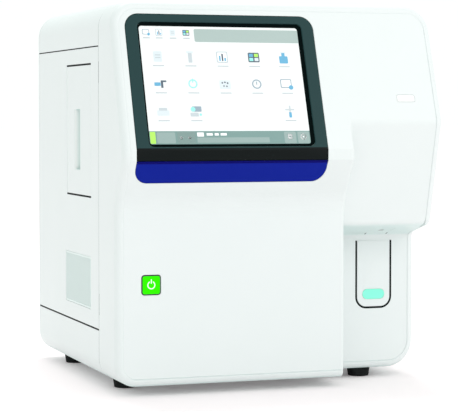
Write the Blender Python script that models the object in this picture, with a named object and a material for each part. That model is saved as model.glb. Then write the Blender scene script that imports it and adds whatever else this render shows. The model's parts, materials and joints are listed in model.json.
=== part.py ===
"""Benchtop hematology analyzer, in metres with +Z up.

The origin is on the bench under the middle of the casing. The front faces -Y.
"""
import math

import bmesh
import bpy
from mathutils import Matrix, Vector

MM = 0.001

# Casing
BODY_WIDTH = 450 * MM
BODY_DEPTH = 460 * MM
BODY_HEIGHT = 510 * MM
FOOT_CLEARANCE = 12.5 * MM
WALL = 4 * MM
TOP_CORNER_RADIUS = 34 * MM
BOTTOM_CORNER_RADIUS = 38 * MM
FRONT_RIM_RADIUS = 9 * MM
REAR_RIM_RADIUS = 6 * MM
COVER_DEPTH = 116.75 * MM
COVER_GAP = 0.5 * MM
TOP_COVER_DROP = 56 * MM
BASE_TUB_HEIGHT = 65.25 * MM
SIDE_SEAM = 1.5 * MM
LIP_LENGTH = 8 * MM
LIP_THICKNESS = 2.5 * MM
REAR_PANEL_DEPTH = 8 * MM
REAR_PANEL_WALL = 3 * MM

# Clearances and cutters
FIT = 0.3 * MM
OVERRUN = 5 * MM
SAME_POINT = 0.01 * MM

# Front: tilted face, band, chin and lower panel on the left, head and recess on the right
FACE_TILT = math.radians(19.06)
KINK_DROP = 192 * MM
BAND_HEIGHT = 14 * MM
CHIN_SETBACK = 35.5 * MM
CHIN_DROP = 72 * MM
CHIN_BLEND_RADIUS = 60 * MM
HEAD_WIDTH = 134 * MM
HEAD_KINK_RISE = 35.8 * MM
HEAD_KINK_RADIUS = 20 * MM
HEAD_LIP_HEIGHT = 213.5 * MM
HEAD_LIP_SETBACK = 48.5 * MM
HEAD_LIP_RADIUS = 12 * MM
HEAD_ROOT_HEIGHT = 198 * MM
HEAD_COVE_RADIUS = 8 * MM
RECESS_DEPTH = 105.5 * MM

# Display
BEZEL_MARGIN = 18 * MM
BEZEL_TOP_MARGIN = 16.5 * MM
BEZEL_STEP_MARGIN = 37.5 * MM
BEZEL_THICKNESS = 4 * MM
BEZEL_TOP_RADIUS = 19 * MM
TRIM_HEIGHT = 28.4 * MM
TRIM_BOTTOM_RADIUS = 18 * MM
WINDOW_MARGIN = 17 * MM
WINDOW_TOP_MARGIN = 11 * MM
WINDOW_BOTTOM_MARGIN = 4.7 * MM
WINDOW_RADIUS = 2.5 * MM
SCREEN_RECESS = 1.6 * MM
SCREEN_THICKNESS = 2 * MM
MODULE_OVERLAP = 5 * MM
MODULE_DEPTH = 12 * MM

# Status light window
STATUS_RIGHT_MARGIN = 37.7 * MM
STATUS_RISE = 65.6 * MM
STATUS_WIDTH = 26 * MM
STATUS_HEIGHT = 10.2 * MM
STATUS_RADIUS = 2.5 * MM

# Power button
BUTTON_MARGIN = 34.2 * MM
BUTTON_DROP = 88.8 * MM
BUTTON_SIZE = 26.2 * MM
BUTTON_RADIUS = 4 * MM
BUTTON_GAP = 0.4 * MM
BUTTON_PROUD = 0.6 * MM
BUTTON_DEPTH = 8 * MM
BUTTON_TRAVEL = 2 * MM
BUTTON_STEM_RADIUS = 4 * MM
BUTTON_STEM_LENGTH = 11 * MM
SWITCH_HOUSING_WALL = 4 * MM
SWITCH_HOUSING_DEPTH = 24 * MM

# Start paddle, a tongue in the recess panel that the sample tube presses
SAMPLE_OFFSET = 73 * MM
PADDLE_WIDTH = 48.5 * MM
PADDLE_BASE = 85.65 * MM
PADDLE_HEIGHT = 91.3 * MM
PADDLE_RADIUS = 12 * MM
PADDLE_SLIT = 1.9 * MM
PADDLE_TOP_GAP = 0.4 * MM
PADDLE_LUG_WIDTH = 6 * MM
PADDLE_LUG_HEIGHT = 9 * MM
PADDLE_LUG_DEPTH = 9 * MM
PADDLE_LUG_SPREAD = 20 * MM
PIVOT_RADIUS = 1.5 * MM
MARK_WIDTH = 33.6 * MM
MARK_HEIGHT = 14.9 * MM
MARK_RISE = 9.7 * MM
MARK_THICKNESS = 1.2 * MM
MARK_PROUD = 0.2 * MM
START_BRACKET_DEPTH = 14 * MM
START_BRACKET_HEIGHT = 20 * MM
START_BRACKET_WALL = 2 * MM
START_BRACKET_SIDE = 5 * MM
START_SWITCH_WIDTH = 20 * MM
START_SWITCH_HEIGHT = 10 * MM
START_SWITCH_DEPTH = 7 * MM
START_PIN_RADIUS = 1.5 * MM
START_PIN_LENGTH = 0.8 * MM

# Pipette opening in the head's underside
PIPETTE_OPENING_WIDTH = 32 * MM
PIPETTE_OPENING_DEPTH = 32 * MM
PIPETTE_OPENING_RADIUS = 4 * MM
PIPETTE_REACH = 36.75 * MM

# Hinges of the front cover and the side door
HINGE_HEIGHT = 26 * MM
HINGE_END_GAP = 0.5 * MM
HINGE_SWING_GAP = 0.35 * MM
HINGE_PIN_RADIUS = 1 * MM
HINGE_PIN_END = 8 * MM
HINGE_LEAF_LENGTH = 20 * MM
HINGE_LEAF_THICKNESS = 2 * MM
COVER_HINGE_MARGIN = 22 * MM

# Side door and its handle recess
DOOR_FRONT = 38.75 * MM
DOOR_WIDTH = 130.2 * MM
DOOR_TOP_MARGIN = 23.3 * MM
DOOR_HEIGHT = 177.9 * MM
DOOR_GAP = 1.2 * MM
DOOR_EDGE_GAP = 0.4 * MM
DOOR_HINGE_HEIGHT = 60 * MM
HANDLE_FRONT = 57.1 * MM
HANDLE_WIDTH = 28.9 * MM
HANDLE_BASE = 33.7 * MM
HANDLE_HEIGHT = 82.9 * MM
HANDLE_DEPTH = 14 * MM
HANDLE_FLOOR = 5 * MM
HANDLE_WALL = 2 * MM

# Side vents
VENT_FRONT = 41 * MM
VENT_WIDTH = 136 * MM
VENT_RISE_SHARE = 0.158
VENT_HEIGHT = 70.3 * MM
VENT_INSET = 0.5 * MM
VENT_THICKNESS = 3 * MM
VENT_FRAME = 5 * MM
VENT_SLOT = 2.6 * MM
VENT_PITCH = 6 * MM

# Feet
FOOT_TOP_RADIUS = 14 * MM
FOOT_BOTTOM_RADIUS = 12 * MM
FOOT_STUD_RADIUS = 3 * MM
FOOT_SETBACK = 12.75 * MM
FOOT_SIDE_MARGIN = 39 * MM
FOOT_FRONT_RIGHT_MARGIN = 73 * MM
FOOT_REAR_MARGIN = 68.5 * MM

# Chassis
PAN_THICKNESS = 2 * MM
PAN_SIDE_MARGIN = 41 * MM
PAN_END_MARGIN = 8 * MM
BULKHEAD_SETBACK = 164.75 * MM
BULKHEAD_THICKNESS = 2 * MM
BULKHEAD_SIDE_MARGIN = 11 * MM
BULKHEAD_TOP_MARGIN = 70 * MM

# Reagent bay behind the side door
BAY_DEPTH = 100 * MM
BAY_WALL = 2 * MM
BAY_RIM_GAP = 0.5 * MM
CARTRIDGE_DEPTH = 74 * MM
CARTRIDGE_WIDTH = 52 * MM
CARTRIDGE_HEIGHT = 120 * MM
CARTRIDGE_NECK_RADIUS = 9 * MM
CARTRIDGE_NECK_HEIGHT = 14 * MM

# Pipette lift
LIFT_SETBACK = 52.75 * MM
LIFT_PLATE_WIDTH = 80 * MM
LIFT_PLATE_THICKNESS = 3 * MM
LIFT_HEIGHT = 380 * MM
LIFT_FLANGE_REACH = 46 * MM
LIFT_LOWER_FLANGE = 199.5 * MM
GUIDE_ROD_RADIUS = 3 * MM
GUIDE_ROD_SPREAD = 41 * MM
GUIDE_ROD_REACH = 32 * MM
CARRIAGE_WIDTH = 61 * MM
CARRIAGE_DEPTH = 20 * MM
CARRIAGE_HEIGHT = 24 * MM
CARRIAGE_RISE = 107 * MM
ARM_WIDTH = 13 * MM
ARM_HEIGHT = 10 * MM
ARM_NOSE = 7 * MM
NEEDLE_RADIUS = 1 * MM
NEEDLE_DROP = 111 * MM
NEEDLE_HUB_RADIUS = 3 * MM
NEEDLE_HUB_HEIGHT = 12 * MM
PULLEY_RADIUS = 8 * MM
PULLEY_FLANGE_RADIUS = 10.5 * MM
PULLEY_WIDTH = 7 * MM
PULLEY_FLANGE = 1.5 * MM
PULLEY_GAP = 3 * MM
SHAFT_RADIUS = 2.5 * MM
DRIVE_DROP = 26 * MM
IDLER_RISE = 21 * MM
BELT_THICKNESS = 1.2 * MM
BELT_WIDTH = 6 * MM
CLAMP_WIDTH = 6 * MM
MOTOR_SIZE = 42 * MM
MOTOR_DEPTH = 34 * MM
WASHER_SIZE = 20 * MM
WASHER_HEIGHT = 13 * MM
WASHER_ARM_WIDTH = 10 * MM
WASHER_ARM_HEIGHT = 4 * MM
WASHER_BORE_RADIUS = 3 * MM

# Fluidics on the front of the bulkhead
VALVE_OFFSET = 165 * MM
VALVE_HEIGHT = 300 * MM
VALVE_RADIUS = 20 * MM
VALVE_STATOR_DEPTH = 12 * MM
VALVE_ROTOR_DEPTH = 10 * MM
VALVE_PIN_RADIUS = 3 * MM
VALVE_PIN_LENGTH = 14 * MM
VALVE_STAND = 34 * MM
VALVE_STAND_SIZE = 24 * MM
VALVE_TAB = 8 * MM
CHAMBER_OFFSET = 225 * MM
CHAMBER_HEIGHT = 190 * MM
CHAMBER_WIDTH = 70 * MM
CHAMBER_DEPTH = 40 * MM
CHAMBER_TALL = 55 * MM
CHAMBER_CUP_RADIUS = 11 * MM
CHAMBER_CUP_DEPTH = 38 * MM
DETECTOR_BAY_GAP = 13.2 * MM
DETECTOR_DROP = 80 * MM
DETECTOR_WIDTH = 90 * MM
DETECTOR_DEPTH = 60 * MM
DETECTOR_TALL = 52 * MM
DETECTOR_TUBE_RADIUS = 13 * MM
DETECTOR_TUBE_LENGTH = 26 * MM
DETECTOR_BORE_RADIUS = 8 * MM
SYRINGE_OFFSET = 310 * MM
SYRINGE_HEIGHT = 120 * MM
SYRINGE_RADIUS = 13 * MM
SYRINGE_BORE_RADIUS = 8 * MM
SYRINGE_TALL = 75 * MM
SYRINGE_CAP = 6 * MM
SYRINGE_STAND = 30 * MM
PLUNGER_FOOT = 5 * MM
MANIFOLD_OFFSET = 110 * MM
MANIFOLD_HEIGHT = 90 * MM
MANIFOLD_WIDTH = 120 * MM
MANIFOLD_DEPTH = 22 * MM
MANIFOLD_TALL = 40 * MM
SOLENOID_RADIUS = 8 * MM
SOLENOID_LENGTH = 30 * MM
SOLENOID_COUNT = 5
WASTE_OFFSET = 150 * MM
WASTE_SETBACK = 70 * MM
WASTE_RADIUS = 26 * MM
WASTE_HEIGHT = 110 * MM
WASTE_CAP_RADIUS = 14 * MM
WASTE_CAP_HEIGHT = 12 * MM

# Power and air, behind the bulkhead
SUPPLY_MARGIN = 60 * MM
SUPPLY_WIDTH = 130 * MM
SUPPLY_DEPTH = 62 * MM
SUPPLY_HEIGHT = 60 * MM
SUPPLY_SLOT = 3 * MM
SUPPLY_SLOT_LENGTH = 36 * MM
SUPPLY_SLOT_PITCH = 9 * MM
SUPPLY_SLOT_COUNT = 8
STAND_GAP = 14 * MM
BOARD_WIDTH = 220 * MM
BOARD_HEIGHT = 180 * MM
BOARD_THICKNESS = 1.6 * MM
BOARD_STANDOFF = 6 * MM
BOARD_STANDOFF_RADIUS = 3.5 * MM
BOARD_EDGE = 10 * MM
BOARD_MARGIN = 90 * MM
BOARD_DROP = 60 * MM
CHIP_SIZE = 28 * MM
CHIP_HEIGHT = 3 * MM
PUMP_MARGIN = 150 * MM
PUMP_RADIUS = 24 * MM
PUMP_LENGTH = 42 * MM
PUMP_HEAD = 54 * MM
PUMP_HEAD_DEPTH = 24 * MM
PUMP_FOOT = 6 * MM

# Rear panel fittings
FAN_MARGIN = 60 * MM
FAN_HEIGHT = 330 * MM
FAN_SIZE = 80 * MM
FAN_DEPTH = 25 * MM
FAN_BORE_RADIUS = 37.5 * MM
FAN_TIP_GAP = 1.5 * MM
FAN_HUB_RADIUS = 17 * MM
FAN_SPIDER = 3 * MM
FAN_SPIDER_BAR = 5 * MM
FAN_BLADES = 7
FAN_BLADE_THICKNESS = 1.5 * MM
FAN_BLADE_TILT = math.radians(35)
FAN_BLADE_CHORD = 18 * MM
GUARD_SLOT = 5 * MM
GUARD_PITCH = 8 * MM
GUARD_SLOTS = 9
INLET_MARGIN = 80 * MM
INLET_HEIGHT = 90 * MM
INLET_WIDTH = 48 * MM
INLET_TALL = 60 * MM
INLET_DEPTH = 30 * MM
INLET_SOCKET_WIDTH = 28 * MM
INLET_SOCKET_TALL = 20 * MM
INLET_SOCKET_DEPTH = 16 * MM
INLET_SOCKET_CORNER = 5 * MM
INLET_RISE = 8 * MM
INLET_PIN_WIDTH = 2 * MM
INLET_PIN_TALL = 4 * MM
INLET_PIN_LENGTH = 13 * MM
INLET_PIN_SPREAD = 7 * MM
ROCKER_WIDTH = 26 * MM
ROCKER_TALL = 18 * MM
ROCKER_DEPTH = 12 * MM
ROCKER_GAP = 0.6 * MM
ROCKER_AXLE_RADIUS = 1.5 * MM
ROCKER_AXLE_END = 2 * MM
ROCKER_TILT = math.radians(8)
PORT_MARGIN = 80 * MM
PORT_HEIGHT = 90 * MM
PORT_BAY_WIDTH = 110 * MM
PORT_BAY_TALL = 44 * MM
PORT_BAY_DEPTH = 22 * MM
PORT_BAY_WALL = 2 * MM
PORT_RADIUS = 4 * MM
PORT_BORE_RADIUS = 2.2 * MM
PORT_LENGTH = 16 * MM
PORT_COUNT = 4

# Facets of round shapes
ROUND_SIDES = 20
ARC_STEP = math.radians(15)
RIM_SEGMENTS = 3
RIM_LEVEL = math.radians(3)
SMOOTH_ANGLE = math.radians(35)

# Places worked out from the sizes
LEFT = -BODY_WIDTH / 2
RIGHT = BODY_WIDTH / 2
FRONT = -BODY_DEPTH / 2
REAR = BODY_DEPTH / 2
UNDERSIDE = FOOT_CLEARANCE
KINK_HEIGHT = BODY_HEIGHT - KINK_DROP
CHIN_HEIGHT = KINK_HEIGHT - CHIN_DROP
HEAD_KINK_HEIGHT = KINK_HEIGHT + HEAD_KINK_RISE
COVER_REAR = FRONT + COVER_DEPTH
SHELL_FRONT = COVER_REAR + COVER_GAP
SHELL_REAR = REAR - REAR_PANEL_DEPTH - FIT
TOP_SEAM = BODY_HEIGHT - TOP_COVER_DROP
BASE_SEAM = UNDERSIDE + BASE_TUB_HEIGHT
INNER_LEFT = LEFT + WALL
INNER_RIGHT = RIGHT - WALL
LOWER_PANEL = FRONT + CHIN_SETBACK
RECESS_PANEL = FRONT + RECESS_DEPTH
HEAD_LEFT = RIGHT - HEAD_WIDTH
SAMPLE_X = HEAD_LEFT + SAMPLE_OFFSET
NEEDLE_Y = COVER_REAR - PIPETTE_REACH
HINGE_X = LEFT + WALL / 2
COVER_HINGE_Y = COVER_REAR - WALL / 2
FLOOR = UNDERSIDE + WALL
PAN_TOP = FLOOR + FIT + PAN_THICKNESS
BULKHEAD_FRONT = SHELL_FRONT + BULKHEAD_SETBACK
BULKHEAD_REAR = BULKHEAD_FRONT + BULKHEAD_THICKNESS
BULKHEAD_TOP = BODY_HEIGHT - BULKHEAD_TOP_MARGIN
FACE = Matrix((
    (1, 0, 0, 0),
    (0, math.sin(FACE_TILT), -math.cos(FACE_TILT), FRONT),
    (0, math.cos(FACE_TILT), math.sin(FACE_TILT), KINK_HEIGHT),
    (0, 0, 0, 1),
))

# Finishes: colour, roughness, metallic
WHITE_PLASTIC = ((0.90, 0.93, 0.92), 0.4, 0.0)
DARK_PLASTIC = ((0.03, 0.06, 0.06), 0.45, 0.0)
BLUE_PLASTIC = ((0.01, 0.02, 0.30), 0.4, 0.0)
GREEN_PLASTIC = ((0.03, 0.68, 0.0), 0.35, 0.0)
TEAL_PLASTIC = ((0.28, 1.0, 0.75), 0.4, 0.0)
GREY_PLASTIC = ((0.62, 0.74, 0.72), 0.5, 0.0)
SCREEN_GLASS = ((0.9, 0.95, 0.95), 0.15, 0.0)
BLACK_RUBBER = ((0.01, 0.01, 0.01), 0.8, 0.0)
STEEL = ((0.6, 0.6, 0.6), 0.35, 1.0)
BOARD_GREEN = ((0.02, 0.2, 0.05), 0.5, 0.0)


def clear_scene():
    for item in list(bpy.data.objects):
        bpy.data.objects.remove(item, do_unlink=True)


def turn_of(first, second):
    """Cross product of two plane vectors."""
    return first.x * second.y - first.y * second.x


def offset_path(points, distance):
    """Open path moved to the left of its own direction."""
    lines = []
    for start, end in zip(points, points[1:]):
        along = (Vector(end) - Vector(start)).normalized()
        aside = Vector((-along.y, along.x)) * distance
        lines.append((Vector(start) + aside, Vector(end) + aside, along))
    moved = [lines[0][0]]
    for (start, _, along), (next_start, _, next_along) in zip(lines, lines[1:]):
        reach = turn_of(next_start - start, next_along) / turn_of(along, next_along)
        moved.append(start + along * reach)
    moved.append(lines[-1][1])
    return moved


def corner_arc(before, corner, after, radius):
    """Points of the arc that rounds one corner, or the corner itself at radius 0."""
    corner = Vector(corner)
    if radius <= 0:
        return [corner]
    back = (Vector(before) - corner).normalized()
    ahead = (Vector(after) - corner).normalized()
    opening = back.angle(ahead)
    tangent = radius / math.tan(opening / 2)
    centre = corner + (back + ahead).normalized() * radius / math.sin(opening / 2)
    spoke = corner + back * tangent - centre
    turn = math.copysign(math.pi - opening, turn_of(-back, ahead))
    steps = max(2, math.ceil(abs(turn) / ARC_STEP))
    arc = []
    for step in range(steps + 1):
        angle = turn * step / steps
        across = Vector((-spoke.y, spoke.x))
        arc.append(centre + spoke * math.cos(angle) + across * math.sin(angle))
    return arc


def shaped_path(points, radii, inset):
    """Open path moved inward by inset, its inner corners rounded to match."""
    moved = offset_path(points, inset)
    path = [moved[0]]
    for before, corner, after, radius in zip(moved, moved[1:], moved[2:], radii):
        outward = turn_of(corner - before, after - corner) > 0
        fitted = radius - inset if outward else radius + inset
        path += corner_arc(before, corner, after, fitted if radius else 0)
    path.append(moved[-1])
    return path


def rectangle(u, v, radii=(0, 0, 0, 0)):
    """Closed outline over the spans u and v, from bottom left, with a radius at each corner."""
    corners = [(u[0], v[0]), (u[1], v[0]), (u[1], v[1]), (u[0], v[1])]
    outline = []
    for index, radius in enumerate(radii):
        after = corners[(index + 1) % len(corners)]
        outline += corner_arc(corners[index - 1], corners[index], after, radius)
    pairs = zip([outline[-1], *outline], outline)
    return [point for before, point in pairs if (point - before).length > SAME_POINT]


def circle(centre, radius, sides=ROUND_SIDES):
    turns = [2 * math.pi * side / sides for side in range(sides)]
    u, v = centre
    return [(u + radius * math.cos(turn), v + radius * math.sin(turn)) for turn in turns]


def mesh_from(bm):
    bmesh.ops.recalc_face_normals(bm, faces=bm.faces)
    mesh = bpy.data.meshes.new("shape")
    bm.to_mesh(mesh)
    bm.free()
    return mesh


def prism(outline, axis, span, top_outline=None):
    """Body between an outline and its copy along an axis, X, Y or Z.

    The outline holds the two other coordinates, in their order. A second outline
    of as many points makes the far end another size.
    """
    places = {
        "X": lambda u, v, w: (w, u, v),
        "Y": lambda u, v, w: (u, w, v),
        "Z": lambda u, v, w: (u, v, w),
    }
    place = places[axis]
    bm = bmesh.new()
    near = [bm.verts.new(place(u, v, span[0])) for u, v in outline]
    far = [bm.verts.new(place(u, v, span[1])) for u, v in (top_outline or outline)]
    bm.faces.new(near)
    bm.faces.new(far)
    for index in range(len(near)):
        bm.faces.new((near[index - 1], near[index], far[index], far[index - 1]))
    return mesh_from(bm)


def block(x, y, z):
    return prism(rectangle(x, y), "Z", z)


def rod(centre, radius, axis, span, sides=ROUND_SIDES):
    return prism(circle(centre, radius, sides), axis, span)


def tilted(mesh):
    """Move a body from the tilted face's own frame to the casing's."""
    mesh.transform(FACE)
    return mesh


def centred(middle, width):
    return (middle - width / 2, middle + width / 2)


def grown(span, amount):
    return (span[0] - amount, span[1] + amount)


def evenly(middle, pitch, count):
    """Places of count copies, a pitch apart, about the middle."""
    return [middle + pitch * (index - (count - 1) / 2) for index in range(count)]


def combine(base, others, operation):
    """Mesh of base joined with, cut by or kept inside each other mesh."""
    collection = bpy.context.scene.collection
    items = [bpy.data.objects.new("shape", mesh) for mesh in [base, *others]]
    for item in items:
        collection.objects.link(item)
    for item in items[1:]:
        step = items[0].modifiers.new("step", "BOOLEAN")
        step.operation = operation
        step.solver = "EXACT"
        step.object = item
    graph = bpy.context.evaluated_depsgraph_get()
    result = bpy.data.meshes.new_from_object(items[0].evaluated_get(graph))
    for item in items:
        bpy.data.objects.remove(item, do_unlink=True)
    return result


def give_finish(item, finish):
    colour, roughness, metallic = finish
    material = bpy.data.materials.new(item.name + "_finish")
    material.use_nodes = True
    shader = material.node_tree.nodes["Principled BSDF"]
    shader.inputs["Base Color"].default_value = (*colour, 1)
    shader.inputs["Roughness"].default_value = roughness
    shader.inputs["Metallic"].default_value = metallic
    item.data.materials.clear()
    item.data.materials.append(material)


def pivot(name, place, parent=None):
    """Empty on a joint's axis that carries what the joint moves."""
    empty = bpy.data.objects.new(name, None)
    bpy.context.scene.collection.objects.link(empty)
    empty.location = place
    if parent:
        empty.parent = parent
        empty.location = Vector(place) - parent.matrix_world.translation
    bpy.context.view_layer.update()
    return empty


def solid(name, finish, shapes, cuts=(), carrier=None):
    """One named sub-part: the shapes joined, less the cuts, riding on its joint's empty."""
    mesh = shapes[0]
    if len(shapes) > 1:
        mesh = combine(mesh, shapes[1:], "UNION")
    if cuts:
        mesh = combine(mesh, cuts, "DIFFERENCE")
    mesh.name = name
    item = bpy.data.objects.new(name, mesh)
    bpy.context.scene.collection.objects.link(item)
    give_finish(item, finish)
    mesh.shade_smooth()
    mesh.set_sharp_from_angle(angle=SMOOTH_ANGLE)
    if carrier:
        item.parent = carrier
        item.matrix_parent_inverse = carrier.matrix_world.inverted()
    return item


def casing_outline(inset):
    """Front view of the casing, in X and Z, moved in by inset."""
    bottom = BOTTOM_CORNER_RADIUS - inset
    top = TOP_CORNER_RADIUS - inset
    u = (LEFT + inset, RIGHT - inset)
    v = (UNDERSIDE + inset, BODY_HEIGHT - inset)
    return rectangle(u, v, (bottom, bottom, top, top))


def face_line(height):
    """Y of the tilted face at a height."""
    return FRONT + (height - KINK_HEIGHT) * math.tan(FACE_TILT)


def left_front_path(inset):
    """Side view of the front left of the head, top to bottom, in Y and Z."""
    top = BODY_HEIGHT + OVERRUN
    points = [
        (face_line(top), top),
        (FRONT, KINK_HEIGHT),
        (FRONT, KINK_HEIGHT - BAND_HEIGHT),
        (LOWER_PANEL, CHIN_HEIGHT),
        (LOWER_PANEL, UNDERSIDE - OVERRUN),
    ]
    return shaped_path(points, (0, 0, CHIN_BLEND_RADIUS), inset)


def head_path(inset):
    """Side view of the head and the recess panel under it, top to bottom, in Y and Z."""
    points = [
        (face_line(BODY_HEIGHT), BODY_HEIGHT),
        (face_line(HEAD_KINK_HEIGHT), HEAD_KINK_HEIGHT),
        (FRONT + HEAD_LIP_SETBACK, HEAD_LIP_HEIGHT),
        (RECESS_PANEL, HEAD_ROOT_HEIGHT),
        (RECESS_PANEL, UNDERSIDE - OVERRUN),
    ]
    return shaped_path(points, (HEAD_KINK_RADIUS, HEAD_LIP_RADIUS, HEAD_COVE_RADIUS), inset)


def front_block(inset, rear):
    """Closed block of the front cover's outer shape, moved in by inset."""
    path = left_front_path(inset)
    back = rear + OVERRUN
    side_view = path + [(back, path[-1][1]), (back, path[0][1])]
    casing = prism(casing_outline(inset), "Y", (FRONT - OVERRUN, rear))
    profile = prism(side_view, "X", (LEFT - OVERRUN, RIGHT + OVERRUN))
    head = head_path(inset)[1:]
    ahead = FRONT - BODY_DEPTH
    before_head = head + [(ahead, head[-1][1]), (ahead, head[0][1])]
    space = prism(before_head, "X", (HEAD_LEFT - inset, RIGHT + OVERRUN))
    mesh = combine(combine(casing, [profile], "INTERSECT"), [space], "DIFFERENCE")
    return rounded_rim(mesh, FRONT_RIM_RADIUS - inset, HEAD_LEFT - inset)


def rounded_rim(mesh, radius, step_x):
    """Round the edges where the front meets the sides, and leave the step beside the head crisp."""
    level = math.sin(RIM_LEVEL)
    bm = bmesh.new()
    bm.from_mesh(mesh)
    bm.normal_update()
    rim = []
    for edge in bm.edges:
        first, second = edge.link_faces
        for side, front in ((first, second), (second, first)):
            on_step = abs(side.calc_center_median().x - step_x) < FIT
            if abs(side.normal.y) < level and front.normal.y < -level and not on_step:
                rim.append(edge)
    bmesh.ops.bevel(bm, geom=rim, offset=radius, segments=RIM_SEGMENTS, profile=0.5, affect="EDGES")
    return mesh_from(bm)


def display_span():
    """Bezel's left and right edges."""
    return (LEFT + BEZEL_MARGIN, HEAD_LEFT - BEZEL_STEP_MARGIN)


def display_outline(bottom, top, inset, bottom_radius, top_radius):
    """Front view of the bezel or the trim strip, in X and Z."""
    u = (display_span()[0] + inset, display_span()[1] - inset)
    low = max(bottom_radius - inset, 0)
    high = max(top_radius - inset, 0)
    return rectangle(u, (bottom, top), (low, low, high, high))


def window_spans(inset):
    """Screen window in the tilted face's frame."""
    left, right = display_span()
    top = (BODY_HEIGHT - BEZEL_TOP_MARGIN - KINK_HEIGHT) / math.cos(FACE_TILT) - WINDOW_TOP_MARGIN
    u = (left + WINDOW_MARGIN + inset, right - WINDOW_MARGIN - inset)
    return u, (WINDOW_BOTTOM_MARGIN + inset, top - inset)


def button_spans(inset):
    left = LEFT + BUTTON_MARGIN + inset
    size = BUTTON_SIZE - 2 * inset
    base = CHIN_HEIGHT - BUTTON_DROP - inset - size
    return (left, left + size), (base, base + size)


def paddle_spans(inset):
    """Paddle's plate, in X and Z. A negative inset gives the opening round it."""
    u = grown(centred(SAMPLE_X, PADDLE_WIDTH), -inset)
    base = UNDERSIDE + PADDLE_BASE
    return u, (base + inset, base + PADDLE_HEIGHT)


def paddle_pivot():
    """Y and Z of the rod that the paddle hangs on."""
    top = paddle_spans(0)[1][1]
    return (RECESS_PANEL + WALL + PADDLE_LUG_DEPTH / 2, top - PADDLE_LUG_HEIGHT / 2)


def lug_span(side, inner):
    """X span of a lug of the paddle (inner) or the cover, left (-1) or right (1)."""
    if inner:
        middle = SAMPLE_X + side * PADDLE_LUG_SPREAD / 2
    else:
        middle = SAMPLE_X + side * (PADDLE_WIDTH / 2 + PADDLE_SLIT + PADDLE_LUG_WIDTH)
    return centred(middle, PADDLE_LUG_WIDTH)


def pipette_opening():
    """X and Y spans of the opening that the needle comes down through."""
    return centred(SAMPLE_X, PIPETTE_OPENING_WIDTH), centred(NEEDLE_Y, PIPETTE_OPENING_DEPTH)


def hinge_spans(low, high, margin):
    """Heights of the lower and upper hinge of a panel."""
    lower = low + margin
    upper = high - margin
    return (lower, lower + HINGE_HEIGHT), (upper - HINGE_HEIGHT, upper)


def hinge_cuts(axis_y, span):
    """Notch and pin bore that a hinge needs in the moving wall."""
    notch_front = axis_y - WALL / 2 - HINGE_SWING_GAP
    notch = block(grown((LEFT, INNER_LEFT), OVERRUN), (notch_front, axis_y + OVERRUN),
                  grown(span, HINGE_END_GAP))
    ends = HINGE_PIN_END + HINGE_END_GAP
    bore = rod((HINGE_X, axis_y), HINGE_PIN_RADIUS + FIT, "Z", grown(span, ends), ROUND_SIDES // 2)
    return [notch, bore]


def add_hinge(name, axis_y, span, carrier):
    """Fixed strap with its knuckle, and the pin that rides in the moving wall."""
    leaf_left = INNER_LEFT + FIT
    leaf = (leaf_left, leaf_left + HINGE_LEAF_THICKNESS)
    knuckle = rod((HINGE_X, axis_y), WALL / 2, "Z", span)
    web = block((HINGE_X, leaf[1]), (axis_y - WALL / 2, axis_y + WALL / 2), span)
    strap = block(leaf, (axis_y - WALL / 2, axis_y + HINGE_LEAF_LENGTH), span)
    bore = rod((HINGE_X, axis_y), HINGE_PIN_RADIUS + FIT, "Z", grown(span, OVERRUN), ROUND_SIDES // 2)
    solid(name, STEEL, [knuckle, web, strap], [bore])
    pin = rod((HINGE_X, axis_y), HINGE_PIN_RADIUS, "Z", grown(span, HINGE_PIN_END), ROUND_SIDES // 2)
    solid(name.replace("hinge", "hinge_pin"), STEEL, [pin], carrier=carrier)


def round_edge_cut(axis_y, span):
    """What the outer corner of a hinged edge loses, so that it turns about its own axis."""
    corner = (LEFT, axis_y + WALL / 2)
    arc = corner_arc((LEFT, axis_y), corner, (HINGE_X, corner[1]), WALL / 2)
    outer = (LEFT - OVERRUN, corner[1] + OVERRUN)
    outline = arc + [(HINGE_X, outer[1]), outer, (outer[0], axis_y)]
    return prism(outline, "Z", span)


def cover_hinges():
    return hinge_spans(BASE_SEAM, TOP_SEAM, COVER_HINGE_MARGIN)


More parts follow.
